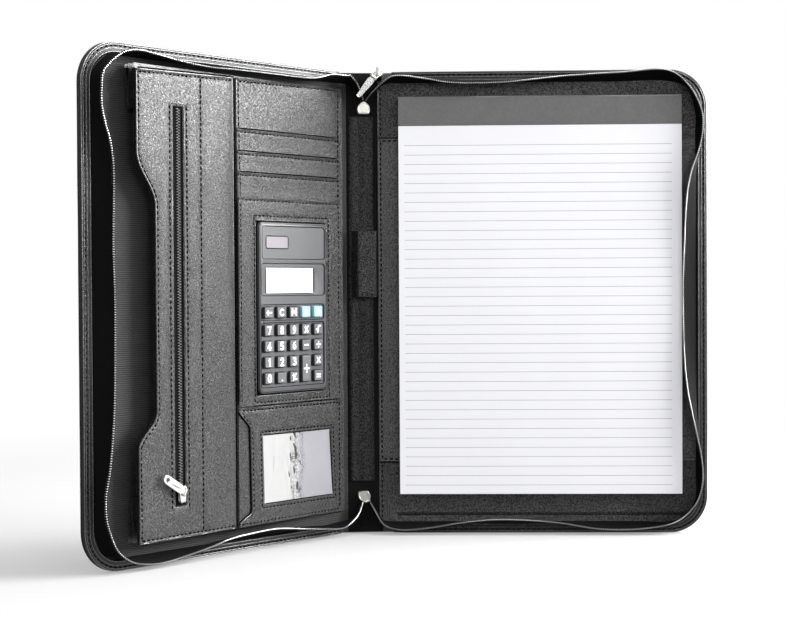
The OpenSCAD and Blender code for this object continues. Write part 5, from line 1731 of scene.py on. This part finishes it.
for nm, (s, z, w, h) in kh.items():
    K = Solid()
    lp = rr_loop(s - w / 2 - 0.0, s + w / 2 + 0.0, z - h / 2, z + h / 2, 1.1, 5)
    fl = rr_loop(s - w / 2 - 0.5, s + w / 2 + 0.5, z - h / 2 - 0.5, z + h / 2 + 0.5, 1.5, 5)
    blue = nm in ("mode", "on")
    # material 1 is the skirt and sides: on grey keys the darker key-side copy, painted shade; blue keys keep their blue
    K.loft([(fl, 3.45), (fl, 4.05), (inset_loop(lp, -0.05), 4.1), (inset_loop(lp, 0.05), 6.2), (inset_loop(lp, 0.25), 6.95), (inset_loop(lp, 0.5), 7.25)], mat=1, close0=True)
    K.loft([(inset_loop(lp, 0.5), 7.25), (inset_loop(lp, 0.85), 7.38), (shrink(inset_loop(lp, 0.85), 0.8), 7.3), (shrink(inset_loop(lp, 0.85), 0.45), 7.2)], mat=0, close1=True)
    gw, gh = (4.6, 5.0) if nm not in ("plus",) else (5.0, 5.6)
    if nm in ("off", "clear", "memory", "mode", "on"):
        gw, gh = 5.4, 4.4
    for P in GL[nm]:
        P = np.array(P)
        # u runs to the reader's right, which is towards the spine
        Q = np.stack([s + gw / 2 - P[:, 0] * gw, z - gh / 2 + P[:, 1] * gh], 1)
        stroke_bar(K, Q, 1.15 if nm not in ("8", "percent", "sign", "9", "6") else 0.95, 7.15, 7.36, 2)
    K.obj("key_%s_cap" % nm, "key_" + nm, fr_pocket, [KEYBLUE if blue else KEY, KEYBLUE if blue else KEY_SIDE_SHADE, LEGEND2 if blue else LEGEND], rep=["key_" + nm],
          slot="key_blue" if blue else "key_grey", angle=32)

# faint segments behind the display glass are left out: the display is blank

# ------------------------------------------------------------------ metal parts
# end clamps on the spine
for nm, cx, cz, sg in (("top", 18.3, 314.2, 1), ("bottom", 19.3, 31.9, -1)):
    K = Solid()
    base = [(-4.1, 0), (4.1, 0), (4.9, 2.2), (4.75, 5.4), (3.9, 7.0), (1.5, 9.3), (0, 9.75), (-1.5, 9.3), (-3.9, 7.0), (-4.75, 5.4), (-4.9, 2.2)]
    if sg < 0:
        base = [(-3.0, 0.0), (1.0, 0.1), (4.6, 0.5), (4.9, 3.2), (3.6, 6.2), (1.2, 8.0), (-1.5, 9.0), (-4.3, 7.6), (-5.0, 3.4)]
    P = np.array([(cx + a, cz + sg * b2) for a, b2 in base])
    # rounder outline
    Q = []
    n = len(P)
    for i in range(n):
        p0, p1, p2 = P[i - 1], P[i], P[(i + 1) % n]
        for t in (0.25, 0.5, 0.75):
            a = p1 + (p0 - p1) * 0.22; c = p1 + (p2 - p1) * 0.22
            Q.append((1 - t) ** 2 * a + 2 * t * (1 - t) * p1 + t * t * c)
    Q = np.array(Q)
    K.loft([(Q, -2.2), (Q, 0.35), (shrink(Q, 0.97), 0.75), (shrink(Q, 0.91), 1.0), (shrink(Q, 0.83), 1.02), (shrink(Q, 0.78), 0.86), (shrink(Q, 0.5), 0.9), (shrink(Q, 0.2), 0.92)],
           close0=True, close1=True)
    K.obj("zip_clamp_" + nm, "spine", fr_spine, [NICKEL], rep=["zip_end_tabs"], slot="bright_metal", angle=35)


def turn_xz(cx, cz, deg):
    """Local (u, height, v) of a slider to the frame's (x, y, z): turned by deg about the depth axis."""
    a = math.radians(deg); c, s = math.cos(a), math.sin(a)

    def conv(V):
        V = np.array(V, float)
        return np.stack([cx + V[:, 0] * c + V[:, 2] * s, -V[:, 1], cz - V[:, 0] * s + V[:, 2] * c], 1)
    return conv


def tube(K, path, r, n=10, mat=0, squash=(1, 1)):
    """Round bar through 3-D points (u, h, v)."""
    P = np.array(path, float); t = unit(np.gradient(P, axis=0))
    ref = np.array([0, 0, 1.0]) if abs(t[0][2]) < 0.8 else np.array([1.0, 0, 0])
    b0 = len(K.V)
    nv = None
    for i in range(len(P)):
        if nv is None:
            nv = np.cross(t[i], ref)
        else:
            nv = nv - t[i] * np.dot(nv, t[i])
        nv = nv / np.linalg.norm(nv)
        bv = np.cross(t[i], nv)
        rr = r[i] if hasattr(r, "__len__") else r
        for k in range(n):
            a = 2 * math.pi * k / n
            q = P[i] + nv * rr * math.cos(a) * squash[0] + bv * rr * math.sin(a) * squash[1]
            K.V.append(tuple(q))
    for i in range(len(P) - 1):
        for k in range(n):
            a = b0 + i * n + k; b = b0 + i * n + (k + 1) % n
            K.F.append((a, b, b + n, a + n)); K.M.append(mat)
    K.F.append(tuple(b0 + k for k in range(n))[::-1]); K.M.append(mat)
    K.F.append(tuple(b0 + (len(P) - 1) * n + k for k in range(n))); K.M.append(mat)


def slider_body(K, L0, L1, wn, ww, h0, h1, mat=0):
    """Shield-shaped plate from v=L0 (narrow) to v=L1 (wide), heights h0..h1, with rounded rims."""
    m = (L0 + L1) / 2
    P = np.array([(-wn * 0.7, L0), (wn * 0.7, L0), (wn, L0 + 0.8), (wn + (ww - wn) * 0.5, m), (ww, L1 - 1.8), (ww * 0.85, L1 - 0.5), (ww * 0.45, L1),
                  (0, L1 - 0.35), (-ww * 0.45, L1), (-ww * 0.85, L1 - 0.5), (-ww, L1 - 1.8), (-wn - (ww - wn) * 0.5, m), (-wn, L0 + 0.8)])
    Q = []
    n = len(P)
    for i in range(n):
        p0, p1, p2 = P[i - 1], P[i], P[(i + 1) % n]
        for t in (0.25, 0.75):
            a = p1 + (p0 - p1) * 0.3; c = p1 + (p2 - p1) * 0.3
            Q.append((1 - t) ** 2 * a + 2 * t * (1 - t) * p1 + t * t * c)
    Q = np.array(Q)
    lo, hi = min(h0, h1), max(h0, h1)
    K.loft([(inset_loop(Q, 0.25), lo), (Q, lo + 0.2), (Q, hi - 0.4), (inset_loop(Q, 0.15), hi - 0.12), (inset_loop(Q, 0.45), hi)], close0=True, close1=True, mat=mat)


# main slider: two plates, post, bail arch over the pull's eye
SLX, SLZ = -8.7, 343.0
conv = turn_xz(SLX, SLZ, 45)
K = Solid()
slider_body(K, -3.3, 3.4, 2.6, 3.7, 15.1, 16.5)
slider_body(K, -3.3, 3.4, 2.6, 3.7, 11.5, 13.0)
K.loft([(rr_loop(-0.8, 0.8, -2.2, 2.6, 0.5, 3), 12.8), (rr_loop(-0.8, 0.8, -2.2, 2.6, 0.5, 3), 15.3)], close0=True, close1=True)
for sx in (-1, 1):
    K.loft([(rr_loop(sx * 2.4 - 0.5, sx * 2.4 + 0.5, -5.5, 0.9, 0.45, 3), 15.6), (rr_loop(sx * 2.4 - 0.5, sx * 2.4 + 0.5, -5.5, 0.9, 0.45, 3), 17.3),
            (rr_loop(sx * 2.4 - 0.4, sx * 2.4 + 0.4, -5.2, 0.3, 0.38, 3), 18.2), (rr_loop(sx * 2.4 - 0.25, sx * 2.4 + 0.25, -4.9, -0.3, 0.24, 3), 18.45)], close0=True, close1=True)
tube(K, [(-2.6, 17.5, -4.5), (0, 17.5, -4.5), (2.6, 17.5, -4.5)], 0.6)
arch = [(0, 16.3 + 2.0 * math.sin(math.pi * t) ** 0.7, 2.8 - 5.4 * t) for t in np.linspace(0.02, 0.98, 13)]
arch = [(u, h, v) for u, h, v in arch]
tube(K, arch, 0.55, 8, squash=(1.0, 1.5))
K.obj("main_slider_metal", "spine", fr_spine, [SILVER], conv=conv, rep=["main_zip_slider"], slot="bright_metal", angle=40)
# post that carries the slider, wrapped in tape
K = Solid()
P = rr_loop(-12.2, -4.8, 339.4, 341.0, 0.7, 4)
K.loft([(P, -2.4), (P, 6), (inset_loop(P, 0.1), 11.2), (inset_loop(P, 0.3), 11.7)], close0=True, close1=True)
K.obj("slider_stub_tape", "spine", fr_spine, [TAPE], conv=right_local, slot="zip_tape", angle=60)

# main pull: eye, tapering grip with a raised rim
K = Solid()


def pull_plate(K, outline, h0, h1, hole=None, rim=0.45):
    Q = np.array(outline)
    K.loft([(inset_loop(Q, 0.12), h0), (Q, h0 + 0.14), (Q, h1 - 0.14), (inset_loop(Q, 0.12), h1)])
    if hole is None:
        K.loft([(inset_loop(Q, 0.12), h1), (inset_loop(Q, rim), h1), (inset_loop(Q, rim + 0.15), h1 - 0.12)], close1=True)
        K.loft([(inset_loop(Q, rim + 0.15), h0 + 0.12), (inset_loop(Q, rim), h0), (inset_loop(Q, 0.12), h0)], close0=True)
    else:
        Hh = np.array(hole)
        K.plate(h1, inset_loop(Q, 0.12), [inset_loop(Hh, -0.1)]); K.plate(h0, inset_loop(Q, 0.12), [inset_loop(Hh, -0.1)])
        K.loft([(inset_loop(Hh, -0.1), h1), (Hh, h1 - 0.1), (Hh, h0 + 0.1), (inset_loop(Hh, -0.1), h0)])


tip = [(-1.72 + 0.0, -21.3)]
outl = [(2.65, -7.6), (2.3, -6.4), (1.75, -5.6), (1.72, -4.2), (1.3, -3.3), (0.5, -2.95), (-0.5, -2.95), (-1.3, -3.3), (-1.72, -4.2), (-1.75, -5.6), (-2.3, -6.4), (-2.65, -7.6),
        (-2.45, -11.5), (-2.05, -16), (-1.72, -20.8), (-1.5, -22.2), (-0.85, -23.0), (0, -23.2), (0.85, -23.0), (1.5, -22.2), (1.72, -20.8), (2.05, -16), (2.45, -11.5)]
pull_plate(K, outl, 16.95, 18.05)
tube(K, [(-1.7, 17.5, -4.5), (0, 17.5, -4.5), (1.7, 17.5, -4.5)], 1.25, 14)
for v in (-10.5, -12.5, -14.5, -16.5):
    tube(K, [(-1.3, 18.0, v), (0, 18.08, v), (1.3, 18.0, v)], 0.22, 6)
# the pull hangs a little steeper than the slider points
_a = math.radians(6.5); _V = np.array(K.V, float); _u = _V[:, 0].copy(); _w = _V[:, 2] + 4.5
_V[:, 0] = _u * math.cos(_a) - _w * math.sin(_a); _V[:, 2] = _u * math.sin(_a) + _w * math.cos(_a) - 4.5
K.V = [tuple(q) for q in _V]
K.obj("main_pull_metal", "main_zip_pull", fr_spine, [SILVER], conv=conv, rep=["main_zip_pull"], slot="bright_metal", angle=35)

# pocket slider and its pull
K = Solid()
slider_body(K, -6.0, 5.0, 2.5, 3.5, 3.3, 4.6)
for sx in (-1, 1):
    P = rr_loop(sx * 2.4 - 0.8, sx * 2.4 + 0.8, -5, 4, 0.5, 3)
    K.loft([(P, 2.0), (P, 3.4)], close0=True, close1=True)
K.obj("pocket_slider_plate", "pocket_zip_slider", fr_pocket, [SILVER], conv=turn_xz(-168.8, 48.0, 0), rep=["pocket_zip_slider"], slot="bright_metal", angle=40)
conv = turn_xz(-168.8, 49.0, -58)
K = Solid()
for sx in (-1, 1):
    P = rr_loop(sx * 2.35 - 0.45, sx * 2.35 + 0.45, -0.95, 0.95, 0.4, 3)
    K.loft([(P, 4.4), (P, 6.5), (inset_loop(P, 0.12), 7.0), (inset_loop(P, 0.3), 7.2)], close0=True, close1=True)
tube(K, [(-2.4, 6.2, 0), (0, 6.2, 0), (2.4, 6.2, 0)], 0.6)
K.obj("pocket_slider_lugs", "pocket_zip_slider", fr_pocket, [SILVER], conv=conv, slot="bright_metal", angle=40)
K = Solid()
outl = [(1.7, 0.0), (1.8, 2.0), (2.5, 3.0), (3.05, 4.6), (3.1, 10), (3.1, 19.0), (2.75, 20.6), (1.9, 21.6), (0.8, 22.0), (-0.8, 22.0), (-1.9, 21.6), (-2.75, 20.6), (-3.1, 19.0), (-3.1, 10), (-3.05, 4.6), (-2.5, 3.0), (-1.8, 2.0), (-1.7, 0.0), (-1.2, -1.0), (0, -1.25), (1.2, -1.0)]
hole_ = [(1.5 * math.cos(a), 18.4 + 1.5 * math.sin(a)) for a in np.linspace(0, 2 * math.pi, 17)[:-1]]
pull_plate(K, outl, 5.7, 6.7, hole=hole_)
# raised waist bar
tube(K, [(0, 6.72, 5.5), (0, 6.9, 7), (0, 6.95, 10), (0, 6.9, 13.4), (0, 6.72, 15)], [0.25, 0.6, 0.75, 0.6, 0.25], 8)
tube(K, [(-1.7, 6.2, 0), (0, 6.2, 0), (1.7, 6.2, 0)], 1.15, 14)
K.obj("pocket_pull_metal", "pocket_zip_pull", fr_pocket, [SILVER], conv=conv, rep=["pocket_zip_pull"], slot="bright_metal", angle=35)

# ------------------------------------------------------------------ floor, light
W_RIGHT, W_FRONT, W_UP, W_LEFT, W_BACK = 1.2, 0.14, 0.4, 0.3, 0.5
LIGHTS = [("soft_right", (1.3, 0.1, 0.68), (-0.1, -0.02, 0.25), (1.0, 0.7), 27.0),
          ("soft_right_back", (1.15, 0.8, 0.7), (-0.1, 0.0, 0.25), (0.5, 0.8), 18.0),
          ("front_left", (-0.55, -1.5, 0.85), (0, 0, 0.15), (0.6, 0.5), 5.5),
          ("front_right", (0.5, -1.35, 0.5), (0, 0, 0.17), (0.25, 0.5), 7.5),
          ("top_right", (0.7, 0.12, 1.45), (-0.1, 0.0, 0.3), (0.5, 0.5), 14.0),
          ("top", (0.1, -0.35, 1.6), (0, 0, 0.1), (1.2, 0.9), 1.6)]
bpy.context.scene.view_settings.view_transform = "Standard"
bpy.context.scene.view_settings.look = "None"
bpy.context.scene.view_settings.exposure = 0.0


def plane(name, pts, faces, mat):
    me = bpy.data.meshes.new(name); me.from_pydata(pts, [], faces); me.materials.append(mat)
    o = bpy.data.objects.new(name, me); bpy.context.scene.collection.objects.link(o)
    return o


fm = Mat("floor_white")
_x = fm.xyz()
_r = fm.math("SQRT", fm.math("ADD", fm.math("MULTIPLY", _x[0], _x[0]), fm.math("MULTIPLY", _x[1], _x[1])))
_far = fm.remap(_r, 0.45, 1.1, 0.0, 1.0)
fm.color(fm.mix(_far, fm.mix(fm.noise(3, 2), (0.30, 0.30, 0.303), (0.32, 0.32, 0.323)), (0, 0, 0)))
fm.set(rough=0.6, spec=0.0)
fm.b.inputs["Emission Color"].default_value = (1, 1, 1, 1)
fm.l(fm.remap(_far, 0, 1, 0.34, 1.0, "LINEAR"), fm.b.inputs["Emission Strength"])
flo = plane("floor", [(-6, -6, 0), (6, -6, 0), (6, 6, 0), (-6, 6, 0)], [(0, 1, 2, 3)], fm.m)
flo.visible_diffuse = False
flo.visible_glossy = False

w = bpy.data.worlds.new("world"); bpy.context.scene.world = w; w.use_nodes = True
nt = w.node_tree; nt.nodes.clear()
wo = nt.nodes.new("ShaderNodeOutputWorld")
bg1 = nt.nodes.new("ShaderNodeBackground"); bg2 = nt.nodes.new("ShaderNodeBackground"); mx = nt.nodes.new("ShaderNodeMixShader")
lp = nt.nodes.new("ShaderNodeLightPath")
bg2.inputs[0].default_value = (1, 1, 1, 1); bg2.inputs[1].default_value = 1.0
bg1.inputs[0].default_value = (1, 1, 1, 1)
tcn = nt.nodes.new("ShaderNodeTexCoord")
total = None
for dvec, amount in (((1, 0, 0), W_RIGHT), ((0, -1, 0), W_FRONT), ((0, 0, 1), W_UP), ((-1, 0, 0), W_LEFT), ((0, 1, 0), W_BACK)):
    dp = nt.nodes.new("ShaderNodeVectorMath"); dp.operation = "DOT_PRODUCT"
    nt.links.new(tcn.outputs["Generated"], dp.inputs[0]); dp.inputs[1].default_value = dvec
    mxn = nt.nodes.new("ShaderNodeMath"); mxn.operation = "MAXIMUM"; mxn.inputs[1].default_value = 0.0
    nt.links.new(dp.outputs["Value"], mxn.inputs[0])
    ml = nt.nodes.new("ShaderNodeMath"); ml.operation = "MULTIPLY_ADD"; ml.inputs[1].default_value = amount
    nt.links.new(mxn.outputs[0], ml.inputs[0])
    if total is None:
        ml.inputs[2].default_value = 0.03
    else:
        nt.links.new(total, ml.inputs[2])
    total = ml.outputs[0]
nt.links.new(total, bg1.inputs[1])
nt.links.new(lp.outputs["Is Camera Ray"], mx.inputs[0]); nt.links.new(bg1.outputs[0], mx.inputs[1]); nt.links.new(bg2.outputs[0], mx.inputs[2])
nt.links.new(mx.outputs[0], wo.inputs[0])


def area(name, loc, target, size, power, col=(1, 1, 1)):
    L = bpy.data.lights.new(name, "AREA"); L.shape = "RECTANGLE"; L.size, L.size_y = size; L.energy = power; L.color = col
    o = bpy.data.objects.new(name, L); bpy.context.scene.collection.objects.link(o)
    o.location = loc
    d = Vector(target) - Vector(loc); o.rotation_euler = d.to_track_quat("-Z", "Y").to_euler()
    return o


for _n, _l, _t, _s, _r in LIGHTS:
    area(_n, _l, _t, _s, _r * math.pi * _s[0] * _s[1])
